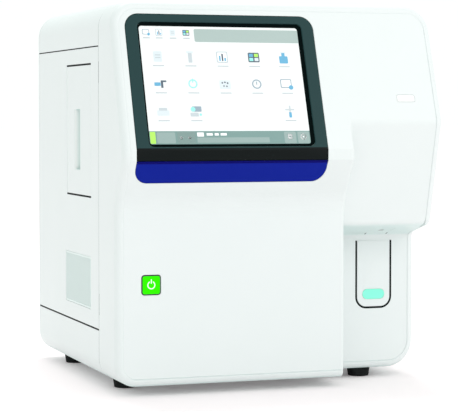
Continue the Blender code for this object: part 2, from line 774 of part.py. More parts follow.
def front_cover(carrier):
    shell = combine(front_block(0, COVER_REAR), [front_block(WALL, COVER_REAR + OVERRUN)], "DIFFERENCE")
    pivot_y, pivot_z = paddle_pivot()
    rear_face = RECESS_PANEL + WALL
    lug_z = (pivot_z - PADDLE_LUG_HEIGHT / 2, pivot_z + PADDLE_LUG_HEIGHT / 2)
    lug_y = (rear_face - WALL / 2, rear_face + PADDLE_LUG_DEPTH)
    lugs = [block(lug_span(side, False), lug_y, lug_z) for side in (-1, 1)]
    display_top = BODY_HEIGHT - BEZEL_TOP_MARGIN
    trim_bottom = KINK_HEIGHT - BAND_HEIGHT - TRIM_HEIGHT
    outline = display_outline(trim_bottom, display_top, 0, TRIM_BOTTOM_RADIUS, BEZEL_TOP_RADIUS)
    display = prism(outline, "Y", (FRONT - OVERRUN, face_line(display_top) + WALL + OVERRUN))
    paddle_u, paddle_v = paddle_spans(-PADDLE_SLIT)
    opening_radius = PADDLE_RADIUS + PADDLE_SLIT
    opening_v = (paddle_v[0], paddle_v[1] + PADDLE_TOP_GAP)
    paddle = prism(rectangle(paddle_u, opening_v, (opening_radius, opening_radius, 0, 0)), "Y",
                   (RECESS_PANEL - OVERRUN, rear_face + OVERRUN))
    opening_x, opening_y = pipette_opening()
    corners = [PIPETTE_OPENING_RADIUS] * 4
    needle = prism(rectangle(opening_x, opening_y, corners), "Z",
                   (HEAD_ROOT_HEIGHT - OVERRUN, HEAD_LIP_HEIGHT + WALL + OVERRUN))
    button_u, button_v = button_spans(0)
    button = prism(rectangle(button_u, button_v, [BUTTON_RADIUS] * 4), "Y",
                   (LOWER_PANEL - OVERRUN, LOWER_PANEL + WALL + OVERRUN))
    lug_bore = rod((pivot_y, pivot_z), PIVOT_RADIUS + FIT, "X",
                   (lug_span(-1, False)[0] - OVERRUN, lug_span(1, False)[1] + OVERRUN))
    cuts = [display, status_plate(0, OVERRUN), paddle, needle, button, lug_bore]
    cuts.append(round_edge_cut(COVER_HINGE_Y, (UNDERSIDE - OVERRUN, BODY_HEIGHT + OVERRUN)))
    for span in cover_hinges():
        cuts += hinge_cuts(COVER_HINGE_Y, span)
    solid("front_cover", WHITE_PLASTIC, [shell, *lugs], cuts, carrier)


def status_plate(inset, reach):
    """Status window's plate in the tilted face, or its cutter when it reaches past the wall."""
    right = RIGHT - STATUS_RIGHT_MARGIN
    u = (right - STATUS_WIDTH + inset, right - inset)
    v = (STATUS_RISE + inset, STATUS_RISE + STATUS_HEIGHT - inset)
    outline = rectangle(u, v, [STATUS_RADIUS - inset] * 4)
    return tilted(prism(outline, "Z", (-WALL - reach, reach)))


def display_pieces(carrier):
    outer = left_front_path(0)
    inner = left_front_path(BEZEL_THICKNESS)
    slab_outline = outer + inner[::-1]
    seam = KINK_HEIGHT - BAND_HEIGHT
    top = BODY_HEIGHT - BEZEL_TOP_MARGIN - FIT
    reach = (FRONT - OVERRUN, face_line(BODY_HEIGHT) + BODY_DEPTH / 2)
    x = grown(display_span(), OVERRUN)
    bezel_outline = display_outline(seam + FIT / 2, top, FIT, 0, BEZEL_TOP_RADIUS)
    bezel = combine(prism(slab_outline, "X", x), [prism(bezel_outline, "Y", reach)], "INTERSECT")
    window_u, window_v = window_spans(0)
    window = tilted(prism(rectangle(window_u, window_v, [WINDOW_RADIUS] * 4), "Z",
                          (-BEZEL_THICKNESS - OVERRUN, OVERRUN)))
    solid("display_bezel", DARK_PLASTIC, [bezel], [window], carrier)
    trim_bottom = seam - TRIM_HEIGHT + FIT
    trim_outline = display_outline(trim_bottom, seam - FIT / 2, FIT, TRIM_BOTTOM_RADIUS, 0)
    trim = combine(prism(slab_outline, "X", x), [prism(trim_outline, "Y", reach)], "INTERSECT")
    solid("trim_strip", BLUE_PLASTIC, [trim], carrier=carrier)
    screen_u, screen_v = window_spans(FIT)
    screen = prism(rectangle(screen_u, screen_v, [WINDOW_RADIUS - FIT] * 4), "Z",
                   (-SCREEN_RECESS - SCREEN_THICKNESS, -SCREEN_RECESS))
    solid("display_screen", SCREEN_GLASS, [tilted(screen)], carrier=carrier)
    module_u, module_v = window_spans(-MODULE_OVERLAP)
    module_v = (WINDOW_BOTTOM_MARGIN / 2, module_v[1])
    module_front = -BEZEL_THICKNESS - FIT
    module = prism(rectangle(module_u, module_v), "Z", (module_front - MODULE_DEPTH, module_front))
    solid("display_module", STEEL, [tilted(module)], carrier=carrier)
    solid("status_window", GREY_PLASTIC, [status_plate(FIT, 0)], carrier=carrier)


def power_button_pieces(cover):
    """Cap that slides in the housing behind the lower panel."""
    cap_u, cap_v = button_spans(BUTTON_GAP)
    middle = (sum(cap_u) / 2, sum(cap_v) / 2)
    cap_front = LOWER_PANEL - BUTTON_PROUD
    cap_rear = cap_front + BUTTON_DEPTH
    stem_rear = cap_rear + BUTTON_STEM_LENGTH
    carrier = pivot("power_button_pivot", (middle[0], LOWER_PANEL, middle[1]), cover)
    cap = prism(rectangle(cap_u, cap_v, [BUTTON_RADIUS - BUTTON_GAP] * 4), "Y", (cap_front, cap_rear))
    stem = rod(middle, BUTTON_STEM_RADIUS, "Y", (cap_rear - FIT, stem_rear))
    solid("power_button", GREEN_PLASTIC, [cap, stem], carrier=carrier)
    housing_front = LOWER_PANEL + WALL + FIT
    housing_rear = housing_front + SWITCH_HOUSING_DEPTH
    pocket_rear = cap_rear + BUTTON_TRAVEL + BUTTON_GAP
    bore_rear = stem_rear + BUTTON_TRAVEL + BUTTON_GAP
    outer_u, outer_v = button_spans(-SWITCH_HOUSING_WALL)
    inner_u, inner_v = button_spans(0)
    housing = prism(rectangle(outer_u, outer_v), "Y", (housing_front, housing_rear))
    pocket = prism(rectangle(inner_u, inner_v, [BUTTON_RADIUS] * 4), "Y",
                   (housing_front - OVERRUN, pocket_rear))
    bore = rod(middle, BUTTON_STEM_RADIUS + FIT, "Y", (pocket_rear - FIT, bore_rear))
    solid("power_switch_housing", DARK_PLASTIC, [housing], [pocket, bore], cover)


def start_paddle_pieces(cover):
    """Tongue, its mark and pivot rod, and the microswitch on its bracket."""
    plate_u, plate_v = paddle_spans(0)
    pivot_y, pivot_z = paddle_pivot()
    rear_face = RECESS_PANEL + WALL
    carrier = pivot("start_paddle_pivot", (SAMPLE_X, pivot_y, pivot_z), cover)
    plate = prism(rectangle(plate_u, plate_v, (PADDLE_RADIUS, PADDLE_RADIUS, 0, 0)), "Y",
                  (RECESS_PANEL, rear_face))
    lug_z = (pivot_z - PADDLE_LUG_HEIGHT / 2, plate_v[1] - FIT)
    lug_y = (rear_face - WALL / 2, rear_face + PADDLE_LUG_DEPTH)
    lugs = [block(lug_span(side, True), lug_y, lug_z) for side in (-1, 1)]
    rod_span = (lug_span(-1, False)[0], lug_span(1, False)[1])
    bore = rod((pivot_y, pivot_z), PIVOT_RADIUS + FIT, "X", grown(rod_span, OVERRUN))
    mark_u = centred(SAMPLE_X, MARK_WIDTH)
    mark_base = plate_v[0] + MARK_RISE
    mark_v = (mark_base, mark_base + MARK_HEIGHT)
    mark_rear = RECESS_PANEL - MARK_PROUD + MARK_THICKNESS
    ends = [MARK_HEIGHT / 2 - FIT / 2] * 4
    pocket = prism(rectangle(grown(mark_u, FIT), grown(mark_v, FIT), ends), "Y",
                   (RECESS_PANEL - OVERRUN, mark_rear + FIT))
    solid("start_paddle", WHITE_PLASTIC, [plate, *lugs], [bore, pocket], carrier)
    mark = prism(rectangle(mark_u, mark_v, ends), "Y", (mark_rear - MARK_THICKNESS, mark_rear))
    solid("start_mark", TEAL_PLASTIC, [mark], carrier=carrier)
    solid("paddle_pivot_rod", STEEL, [rod((pivot_y, pivot_z), PIVOT_RADIUS, "X", rod_span)], carrier=cover)

    bracket_u = grown(plate_u, PADDLE_SLIT + START_BRACKET_SIDE)
    bracket_v = centred(mark_base + MARK_HEIGHT / 2, START_BRACKET_HEIGHT)
    bracket_y = (rear_face + FIT, rear_face + FIT + START_BRACKET_DEPTH)
    plate_front = bracket_y[1] - START_BRACKET_WALL
    bracket = block(bracket_u, bracket_y, bracket_v)
    hollow = block(grown(bracket_u, -START_BRACKET_WALL), (bracket_y[0] - OVERRUN, plate_front),
                   grown(bracket_v, OVERRUN))
    solid("start_switch_bracket", STEEL, [bracket], [hollow], cover)
    switch_y = (plate_front - FIT - START_SWITCH_DEPTH, plate_front - FIT)
    switch = block(centred(SAMPLE_X, START_SWITCH_WIDTH), switch_y,
                   centred(sum(bracket_v) / 2, START_SWITCH_HEIGHT))
    tip = rod((SAMPLE_X, sum(bracket_v) / 2), START_PIN_RADIUS, "Y",
              (switch_y[0] - START_PIN_LENGTH, switch_y[0] + FIT))
    solid("start_microswitch", DARK_PLASTIC, [switch, tip], carrier=cover)


def front_cover_assembly():
    cover = pivot("front_cover_pivot", (HINGE_X, COVER_HINGE_Y, BODY_HEIGHT / 2))
    front_cover(cover)
    display_pieces(cover)
    power_button_pieces(cover)
    start_paddle_pieces(cover)
    for name, span in zip(("lower", "upper"), cover_hinges()):
        add_hinge("cover_hinge_" + name, COVER_HINGE_Y, span, cover)


def foot_places():
    front_y = SHELL_FRONT + FOOT_SETBACK
    rear_y = REAR - FOOT_REAR_MARGIN
    left = LEFT + FOOT_SIDE_MARGIN
    right = RIGHT - FOOT_SIDE_MARGIN
    return {
        "front_left": (left, front_y),
        "front_right": (RIGHT - FOOT_FRONT_RIGHT_MARGIN, front_y),
        "rear_left": (left, rear_y),
        "rear_right": (right, rear_y),
    }


def base_tub():
    span = (SHELL_FRONT, SHELL_REAR)
    outer = prism(casing_outline(0), "Y", span)
    inner = prism(casing_outline(WALL), "Y", grown(span, OVERRUN))
    above = block(grown((LEFT, RIGHT), OVERRUN), grown(span, OVERRUN),
                  (BASE_SEAM, BODY_HEIGHT + OVERRUN))
    holes = [rod(place, FOOT_STUD_RADIUS + FIT, "Z", grown((UNDERSIDE, FLOOR), OVERRUN), ROUND_SIDES // 2)
             for place in foot_places().values()]
    solid("base_tub", WHITE_PLASTIC, [outer], [inner, above, *holes])


def feet():
    for name, place in foot_places().items():
        top = UNDERSIDE - FIT
        pad = prism(circle(place, FOOT_BOTTOM_RADIUS), "Z", (0, top), circle(place, FOOT_TOP_RADIUS))
        stud = rod(place, FOOT_STUD_RADIUS, "Z", (top - FIT, FLOOR), ROUND_SIDES // 2)
        solid("foot_" + name, BLACK_RUBBER, [pad, stud])


def top_cover():
    span = (SHELL_FRONT, SHELL_REAR)
    outer = prism(casing_outline(0), "Y", span)
    inner = prism(casing_outline(WALL), "Y", grown(span, OVERRUN))
    below = block(grown((LEFT, RIGHT), OVERRUN), grown(span, OVERRUN),
                  (UNDERSIDE - OVERRUN, TOP_SEAM))
    solid("top_cover", WHITE_PLASTIC, [outer], [inner, below])


def side_plate(side):
    """Side panel with the lips that lap behind the top cover and the base tub."""
    low = BASE_SEAM + SIDE_SEAM
    high = TOP_SEAM - SIDE_SEAM
    outer = LEFT
    inner = INNER_LEFT
    lip_outer = inner + FIT
    lip_inner = lip_outer + LIP_THICKNESS
    outline = [
        (outer, low), (lip_outer, low),
        (lip_outer, low - LIP_LENGTH), (lip_inner, low - LIP_LENGTH),
        (lip_inner, low + LIP_LENGTH), (inner, low + LIP_LENGTH),
        (inner, high - LIP_LENGTH), (lip_inner, high - LIP_LENGTH),
        (lip_inner, high + LIP_LENGTH), (lip_outer, high + LIP_LENGTH),
        (lip_outer, high), (outer, high),
    ]
    return prism([(-side * x, z) for x, z in outline], "Y", (SHELL_FRONT, SHELL_REAR))


def door_spans(inset, edge_inset):
    """Side door in Y and Z. No inset gives its opening."""
    front = SHELL_FRONT + DOOR_FRONT
    top = TOP_SEAM - DOOR_TOP_MARGIN
    return grown((front, front + DOOR_WIDTH), -edge_inset), grown((top - DOOR_HEIGHT, top), -inset)


def door_axis():
    return door_spans(0, DOOR_EDGE_GAP)[0][1] - WALL / 2


def door_hinge_span():
    return centred(sum(door_spans(0, 0)[1]) / 2, DOOR_HINGE_HEIGHT)


def vent_spans(inset):
    front = SHELL_FRONT + VENT_FRONT
    middle = BASE_SEAM + (TOP_SEAM - BASE_SEAM) * VENT_RISE_SHARE
    return grown((front, front + VENT_WIDTH), -inset), grown(centred(middle, VENT_HEIGHT), -inset)


def vent_slots(x):
    """Louvre slots of a side vent as cutters over the span x."""
    u, v = vent_spans(VENT_FRAME)
    count = int((v[1] - v[0] + VENT_PITCH - VENT_SLOT) / VENT_PITCH)
    return [block(x, u, centred(place, VENT_SLOT)) for place in evenly(sum(v) / 2, VENT_PITCH, count)]


def side_panels():
    x = (LEFT - OVERRUN, INNER_LEFT + OVERRUN)
    door_u, door_v = door_spans(0, 0)
    vent_u, vent_v = vent_spans(0)
    cuts = [block(x, door_u, door_v), block(x, vent_u, vent_v)]
    solid("left_side_panel", WHITE_PLASTIC, [side_plate(-1)], cuts)
    grille_u, grille_v = vent_spans(FIT)
    grille_x = (LEFT + VENT_INSET, LEFT + VENT_INSET + VENT_THICKNESS)
    solid("left_vent_grille", GREY_PLASTIC, [block(grille_x, grille_u, grille_v)], vent_slots(x))
    right_x = grown((INNER_RIGHT, RIGHT), OVERRUN)
    solid("right_side_panel", WHITE_PLASTIC, [side_plate(1)], vent_slots(right_x))


def side_door():
    carrier = pivot("side_door_pivot", (HINGE_X, door_axis(), sum(door_spans(0, 0)[1]) / 2))
    u, v = door_spans(DOOR_GAP, DOOR_EDGE_GAP)
    plate = block((LEFT, INNER_LEFT), u, v)
    handle_front = u[0] + HANDLE_FRONT
    handle_rear = handle_front + HANDLE_WIDTH
    handle_v = (v[0] + HANDLE_BASE, v[0] + HANDLE_BASE + HANDLE_HEIGHT)
    floor = LEFT + HANDLE_DEPTH
    foot_y = handle_front + HANDLE_FLOOR
    path = [(LEFT, handle_rear), (floor, foot_y), (floor, handle_front), (LEFT, handle_front)]
    outside = [(LEFT - OVERRUN, handle_front), (LEFT - OVERRUN, handle_rear)]
    pocket = prism(path + outside, "Z", handle_v)
    dish = prism(offset_path(path, HANDLE_WALL), "Z", grown(handle_v, HANDLE_WALL))
    cuts = [pocket, round_edge_cut(door_axis(), grown(v, OVERRUN))]
    cuts += hinge_cuts(door_axis(), door_hinge_span())
    solid("side_door", WHITE_PLASTIC, [plate, dish], cuts, carrier)
    add_hinge("door_hinge", door_axis(), door_hinge_span(), carrier)


def fan_centre():
    return (RIGHT - FAN_MARGIN - FAN_SIZE / 2, FAN_HEIGHT)


def inlet_spans(inset):
    left = LEFT + INLET_MARGIN
    base = UNDERSIDE + INLET_HEIGHT
    return grown((left, left + INLET_WIDTH), -inset), grown((base, base + INLET_TALL), -inset)


def port_spans(inset):
    right = RIGHT - PORT_MARGIN
    base = UNDERSIDE + PORT_HEIGHT
    return grown((right - PORT_BAY_WIDTH, right), -inset), grown((base, base + PORT_BAY_TALL), -inset)


def rear_panel():
    front = REAR - REAR_PANEL_DEPTH
    bm = bmesh.new()
    bm.from_mesh(prism(casing_outline(0), "Y", (front, REAR)))
    rim = [edge for edge in bm.edges if all(abs(vert.co.y - REAR) < FIT for vert in edge.verts)]
    bmesh.ops.bevel(bm, geom=rim, offset=REAR_RIM_RADIUS, segments=RIM_SEGMENTS, profile=0.5, affect="EDGES")
    pan = mesh_from(bm)
    hollow = prism(casing_outline(REAR_RIM_RADIUS), "Y", (front - OVERRUN, REAR - REAR_PANEL_WALL))
    through = (front - OVERRUN, REAR + OVERRUN)
    fan_x, fan_z = fan_centre()
    cuts = [hollow]
    for offset in evenly(0, GUARD_PITCH, GUARD_SLOTS):
        half = math.sqrt(FAN_BORE_RADIUS ** 2 - offset ** 2)
        cuts.append(block((fan_x - half, fan_x + half), through, centred(fan_z + offset, GUARD_SLOT)))
    for u, v in (inlet_spans(0), port_spans(0)):
        cuts.append(block(u, through, v))
    solid("rear_panel", WHITE_PLASTIC, [pan], cuts)


def fan():
    x, z = fan_centre()
    rear = REAR - REAR_PANEL_WALL - FIT
    front = rear - FAN_DEPTH
    half = FAN_SIZE / 2
    frame = block((x - half, x + half), (front, rear), (z - half, z + half))
    bore = rod((x, z), FAN_BORE_RADIUS, "Y", (front - OVERRUN, rear + OVERRUN))
    ring = combine(frame, [bore], "DIFFERENCE")
    spider_y = (front, front + FAN_SPIDER)
    reach = FAN_BORE_RADIUS + FIT
    bars = [
        block((x - reach, x + reach), spider_y, centred(z, FAN_SPIDER_BAR)),
        block(centred(x, FAN_SPIDER_BAR), spider_y, (z - reach, z + reach)),
        rod((x, z), FAN_HUB_RADIUS, "Y", spider_y),
    ]
    shaft_bore = rod((x, z), SHAFT_RADIUS + FIT, "Y", grown(spider_y, OVERRUN), ROUND_SIDES // 2)
    solid("fan_frame", DARK_PLASTIC, [ring, *bars], [shaft_bore])
    carrier = pivot("fan_rotor_pivot", (x, (front + rear) / 2, z))
    hub_y = (spider_y[1] + FAN_TIP_GAP / 2, rear - FAN_TIP_GAP)
    shapes = [rod((x, z), FAN_HUB_RADIUS, "Y", hub_y)]
    shapes.append(rod((x, z), SHAFT_RADIUS, "Y", (front + FIT, sum(hub_y) / 2), ROUND_SIDES // 2))
    blade_reach = (FAN_HUB_RADIUS - FAN_TIP_GAP, FAN_BORE_RADIUS - FAN_TIP_GAP)
    for index in range(FAN_BLADES):
        blade = block(centred(0, FAN_BLADE_THICKNESS), centred(0, FAN_BLADE_CHORD), blade_reach)
        blade.transform(Matrix.Rotation(FAN_BLADE_TILT, 4, "Z"))
        blade.transform(Matrix.Rotation(2 * math.pi * index / FAN_BLADES, 4, "Y"))
        blade.transform(Matrix.Translation((x, sum(hub_y) / 2, z)))
        shapes.append(blade)
    solid("fan_rotor", DARK_PLASTIC, shapes, carrier=carrier)


def rocker_place():
    """X span and middle height of the mains switch in the inlet."""
    u, v = inlet_spans(0)
    return centred(sum(u) / 2, ROCKER_WIDTH), v[1] - INLET_RISE - ROCKER_TALL / 2


def mains_inlet():
    u, v = inlet_spans(FIT)
    middle = sum(u) / 2
    front = REAR - INLET_DEPTH
    body = block(u, (front, REAR), v)
    socket_v = (v[0] + INLET_RISE, v[0] + INLET_RISE + INLET_SOCKET_TALL)
    corner = INLET_SOCKET_CORNER
    socket_floor = REAR - INLET_SOCKET_DEPTH
    socket = prism(rectangle(centred(middle, INLET_SOCKET_WIDTH), socket_v, (0, 0, corner, corner)), "Y",
                   (socket_floor, REAR + OVERRUN))
    rocker_u, rocker_z = rocker_place()
    axle_y = REAR - ROCKER_DEPTH / 2
    well = block(grown(rocker_u, ROCKER_GAP), (REAR - ROCKER_DEPTH - ROCKER_TALL / 4, REAR + OVERRUN),
                 centred(rocker_z, ROCKER_TALL + 2 * ROCKER_GAP))
    axle = rod((axle_y, rocker_z), ROCKER_AXLE_RADIUS + FIT, "X",
               grown(rocker_u, ROCKER_GAP + ROCKER_AXLE_END + FIT), ROUND_SIDES // 2)
    housing = combine(body, [socket, well, axle], "DIFFERENCE")
    pins = []
    for offset in (-1, 0, 1):
        pin_z = sum(socket_v) / 2 + (INLET_PIN_TALL / 2 if offset == 0 else -INLET_PIN_TALL / 2)
        pin_y = (socket_floor - FIT, socket_floor + INLET_PIN_LENGTH)
        pins.append(block(centred(middle + offset * INLET_PIN_SPREAD, INLET_PIN_WIDTH), pin_y,
                          centred(pin_z, INLET_PIN_TALL)))
    solid("mains_inlet", DARK_PLASTIC, [housing, *pins])


def rocker_switch():
    u, z = rocker_place()
    axle_y = REAR - ROCKER_DEPTH / 2
    carrier = pivot("rocker_switch_pivot", (sum(u) / 2, axle_y, z))
    half = ROCKER_TALL / 2 - ROCKER_GAP
    crown = ROCKER_DEPTH / 2 - ROCKER_TALL / 2 * math.sin(ROCKER_TILT)
    outline = [(-crown, -half), (crown - FIT, -half), (crown / 2, 0), (crown - FIT, half), (-crown, half)]
    body = prism([(axle_y + y, z + rise) for y, rise in outline], "X", u)
    body.transform(Matrix.Translation((0, axle_y, z)) @ Matrix.Rotation(ROCKER_TILT, 4, "X")
                   @ Matrix.Translation((0, -axle_y, -z)))
    axle = rod((axle_y, z), ROCKER_AXLE_RADIUS, "X", grown(u, ROCKER_GAP + ROCKER_AXLE_END), ROUND_SIDES // 2)
    solid("rocker_switch", DARK_PLASTIC, [body, axle], carrier=carrier)


def port_bay():
    """Recessed bay with the barbed hose ports for reagents and waste."""
    u, v = port_spans(FIT)
    floor = REAR - PORT_BAY_DEPTH
    outer = block(u, (floor - PORT_BAY_WALL, REAR), v)
    hollow = block(grown(u, -PORT_BAY_WALL), (floor, REAR + OVERRUN), grown(v, -PORT_BAY_WALL))
    tray = combine(outer, [hollow], "DIFFERENCE")
    tip = floor + PORT_LENGTH
    ports = []
    bores = []
    for port_x in evenly(sum(u) / 2, (u[1] - u[0]) / PORT_COUNT, PORT_COUNT):
        place = (port_x, sum(v) / 2)
        ports.append(rod(place, PORT_RADIUS, "Y", (floor - PORT_BAY_WALL / 2, tip)))
        bores.append(rod(place, PORT_BORE_RADIUS, "Y", (floor + FIT, tip + OVERRUN), ROUND_SIDES // 2))
    solid("port_bay", GREY_PLASTIC, [tray, *ports], bores)


def chassis_pan():
    x = (LEFT + PAN_SIDE_MARGIN, RIGHT - PAN_SIDE_MARGIN)
    y = (SHELL_FRONT + PAN_END_MARGIN, SHELL_REAR - PAN_END_MARGIN)
    solid("chassis_pan", STEEL, [block(x, y, (PAN_TOP - PAN_THICKNESS, PAN_TOP))])


def bulkhead():
    x = (LEFT + BULKHEAD_SIDE_MARGIN + WALL, RIGHT - BULKHEAD_SIDE_MARGIN - WALL)
    foot_x = (LEFT + PAN_SIDE_MARGIN, RIGHT - PAN_SIDE_MARGIN)
    plate = block(x, (BULKHEAD_FRONT, BULKHEAD_REAR), (BASE_SEAM, BULKHEAD_TOP))
    leg = block(foot_x, (BULKHEAD_FRONT, BULKHEAD_REAR), (PAN_TOP + FIT, BASE_SEAM + OVERRUN))
    solid("bulkhead", STEEL, [plate, leg])


def bay_spans():
    """Outside of the reagent bay's liner."""
    left = INNER_LEFT + FIT + HINGE_LEAF_THICKNESS + BAY_RIM_GAP
    u, v = door_spans(0, 0)
    return (left, left + BAY_DEPTH), (u[0] + FIT, BULKHEAD_FRONT - FIT), grown(v, -FIT)


def reagent_bay():
    x, y, z = bay_spans()
    hollow = block((x[0] - OVERRUN, x[1] - BAY_WALL), grown(y, -BAY_WALL), grown(z, -BAY_WALL))
    solid("reagent_bay", GREY_PLASTIC, [block(x, y, z)], [hollow])
    floor = z[0] + BAY_WALL + FIT
    back = x[1] - BAY_WALL - FIT
    middle = sum(y) / 2
    quarter = (y[1] - y[0]) / 4
    for name, side in (("front", -1), ("rear", 1)):
        centre_y = middle + side * quarter
        body = block((back - CARTRIDGE_DEPTH, back), centred(centre_y, CARTRIDGE_WIDTH),
                     (floor, floor + CARTRIDGE_HEIGHT))
        neck = rod((back - CARTRIDGE_DEPTH / 2, centre_y), CARTRIDGE_NECK_RADIUS, "Z",
                   (floor + CARTRIDGE_HEIGHT - FIT, floor + CARTRIDGE_HEIGHT + CARTRIDGE_NECK_HEIGHT))
        solid("dye_cartridge_" + name, BLUE_PLASTIC, [body, neck])


def lift_values():
    """Places that the pipette lift's pieces share."""
    front = SHELL_FRONT + LIFT_SETBACK
    top = PAN_TOP + FIT + LIFT_HEIGHT
    lower = UNDERSIDE + LIFT_LOWER_FLANGE
    pulley_y = front - PULLEY_GAP - PULLEY_FLANGE
    return {
        "front": front,
        "rear": front + LIFT_PLATE_THICKNESS,
        "top": top,
        "lower": lower,
        "lip": front - LIFT_FLANGE_REACH,
        "rod_y": front - GUIDE_ROD_REACH,
        "pulley_y": (pulley_y - PULLEY_WIDTH, pulley_y),
        "drive_z": top - DRIVE_DROP,
        "idler_z": lower + LIFT_PLATE_THICKNESS + IDLER_RISE,
        "carriage_z": lower + CARRIAGE_RISE,
    }


def lift_frame():
    at = lift_values()
    x = centred(SAMPLE_X, LIFT_PLATE_WIDTH)
    plate = block(x, (at["front"], at["rear"]), (BASE_SEAM, at["top"]))
    leg_x = (x[0], RIGHT - PAN_SIDE_MARGIN)
    leg = block(leg_x, (at["front"], at["rear"]), (PAN_TOP + FIT, BASE_SEAM + OVERRUN))
    thick = LIFT_PLATE_THICKNESS
    upper = block(x, (at["lip"], at["rear"]), (at["top"] - thick, at["top"]))
    lower = block(x, (at["lip"], at["rear"]), (at["lower"], at["lower"] + thick))
    stud = rod((SAMPLE_X, at["idler_z"]), SHAFT_RADIUS, "Y",
               (at["pulley_y"][0] - PULLEY_FLANGE, at["front"] + thick / 2), ROUND_SIDES // 2)
    hole = rod((SAMPLE_X, at["drive_z"]), SHAFT_RADIUS + FIT, "Y",
               (at["front"] - OVERRUN, at["rear"] + OVERRUN), ROUND_SIDES // 2)
    rods = []
    for side in (-1, 1):
        place = (SAMPLE_X + side * GUIDE_ROD_SPREAD / 2, at["rod_y"])
        rods.append(rod(place, GUIDE_ROD_RADIUS, "Z", (at["lower"] + thick / 2, at["top"] - thick / 2)))
    solid("lift_frame", STEEL, [plate, leg, upper, lower, stud, *rods], [hole])


def carriage():
    at = lift_values()
    z = (at["carriage_z"], at["carriage_z"] + CARRIAGE_HEIGHT)
    carrier = pivot("pipette_carriage_pivot", (SAMPLE_X, NEEDLE_Y, z[0]))
    body_y = centred(at["rod_y"], CARRIAGE_DEPTH)
    body = block(centred(SAMPLE_X, CARRIAGE_WIDTH), body_y, z)
    arm_z = centred(sum(z) / 2, ARM_HEIGHT)
    arm = block(centred(SAMPLE_X, ARM_WIDTH), (NEEDLE_Y - ARM_NOSE, body_y[0] + FIT), arm_z)
    belt_side = SAMPLE_X + PULLEY_RADIUS + FIT + BELT_THICKNESS + FIT
    clamp = block((belt_side, belt_side + CLAMP_WIDTH), (body_y[1] - FIT, at["pulley_y"][1]), arm_z)
    cuts = [rod((SAMPLE_X, NEEDLE_Y), NEEDLE_RADIUS + FIT, "Z", grown(arm_z, OVERRUN), ROUND_SIDES // 2)]
    for side in (-1, 1):
        place = (SAMPLE_X + side * GUIDE_ROD_SPREAD / 2, at["rod_y"])
        cuts.append(rod(place, GUIDE_ROD_RADIUS + FIT, "Z", grown(z, OVERRUN)))
    solid("pipette_carriage", GREY_PLASTIC, [body, arm, clamp], cuts, carrier)
    hub_low = arm_z[1] + FIT
    place = (SAMPLE_X, NEEDLE_Y)
    shank = rod(place, NEEDLE_RADIUS, "Z", (arm_z[0] - NEEDLE_DROP, hub_low + FIT), ROUND_SIDES // 2)
    hub = rod(place, NEEDLE_HUB_RADIUS, "Z", (hub_low, hub_low + NEEDLE_HUB_HEIGHT), ROUND_SIDES // 2)
    solid("sample_needle", STEEL, [shank, hub], carrier=carrier)


def needle_washer():
    at = lift_values()
    floor = at["lower"] + LIFT_PLATE_THICKNESS + FIT
    z = (floor, floor + WASHER_HEIGHT)
    arm_z = (floor, floor + WASHER_ARM_HEIGHT)
    body = block(centred(SAMPLE_X, WASHER_SIZE), centred(NEEDLE_Y, WASHER_SIZE), z)
    arm = block(centred(SAMPLE_X, WASHER_ARM_WIDTH), (NEEDLE_Y, at["rod_y"]), arm_z)
    bore = rod((SAMPLE_X, NEEDLE_Y), WASHER_BORE_RADIUS, "Z", grown(z, OVERRUN))
    solid("needle_washer", GREY_PLASTIC, [body, arm], [bore])


def belt_drive():
    at = lift_values()
    x = SAMPLE_X
    pulley_y = at["pulley_y"]
    for name, z in (("drive_pulley", at["drive_z"]), ("idler_pulley", at["idler_z"])):
        carrier = pivot(name + "_pivot", (x, sum(pulley_y) / 2, z))
        wheel = rod((x, z), PULLEY_RADIUS, "Y", grown(pulley_y, FIT))
        flanges = [
            rod((x, z), PULLEY_FLANGE_RADIUS, "Y", (pulley_y[0] - PULLEY_FLANGE, pulley_y[0])),
            rod((x, z), PULLEY_FLANGE_RADIUS, "Y", (pulley_y[1], pulley_y[1] + PULLEY_FLANGE)),
        ]
        if name == "drive_pulley":
            shaft_y = (pulley_y[0], at["rear"] + MOTOR_DEPTH / 2)
            shaft = rod((x, z), SHAFT_RADIUS, "Y", shaft_y, ROUND_SIDES // 2)
            solid(name, GREY_PLASTIC, [wheel, *flanges, shaft], carrier=carrier)
        else:
            bore = rod((x, z), SHAFT_RADIUS + FIT, "Y", grown(pulley_y, OVERRUN), ROUND_SIDES // 2)
            solid(name, GREY_PLASTIC, [wheel, *flanges], [bore], carrier)
    inner = PULLEY_RADIUS + FIT
    outer = inner + BELT_THICKNESS
    loops = []
    for radius in (outer, inner):
        ends = (at["idler_z"] - radius, at["drive_z"] + radius)
        loops.append(rectangle((x - radius, x + radius), ends, [radius] * 4))
    middle = sum(pulley_y) / 2
    band = prism(loops[0], "Y", centred(middle, BELT_WIDTH))
    gap = prism(loops[1], "Y", centred(middle, BELT_WIDTH + OVERRUN))
    solid("lift_belt", BLACK_RUBBER, [band], [gap])
    motor_y = (at["rear"] + FIT, at["rear"] + FIT + MOTOR_DEPTH)
    motor = block(centred(x, MOTOR_SIZE), motor_y, centred(at["drive_z"], MOTOR_SIZE))
    bore = rod((x, at["drive_z"]), SHAFT_RADIUS + FIT, "Y", (motor_y[0] - OVERRUN, sum(motor_y) / 2 + FIT),
               ROUND_SIDES // 2)
    solid("lift_motor", DARK_PLASTIC, [motor], [bore])


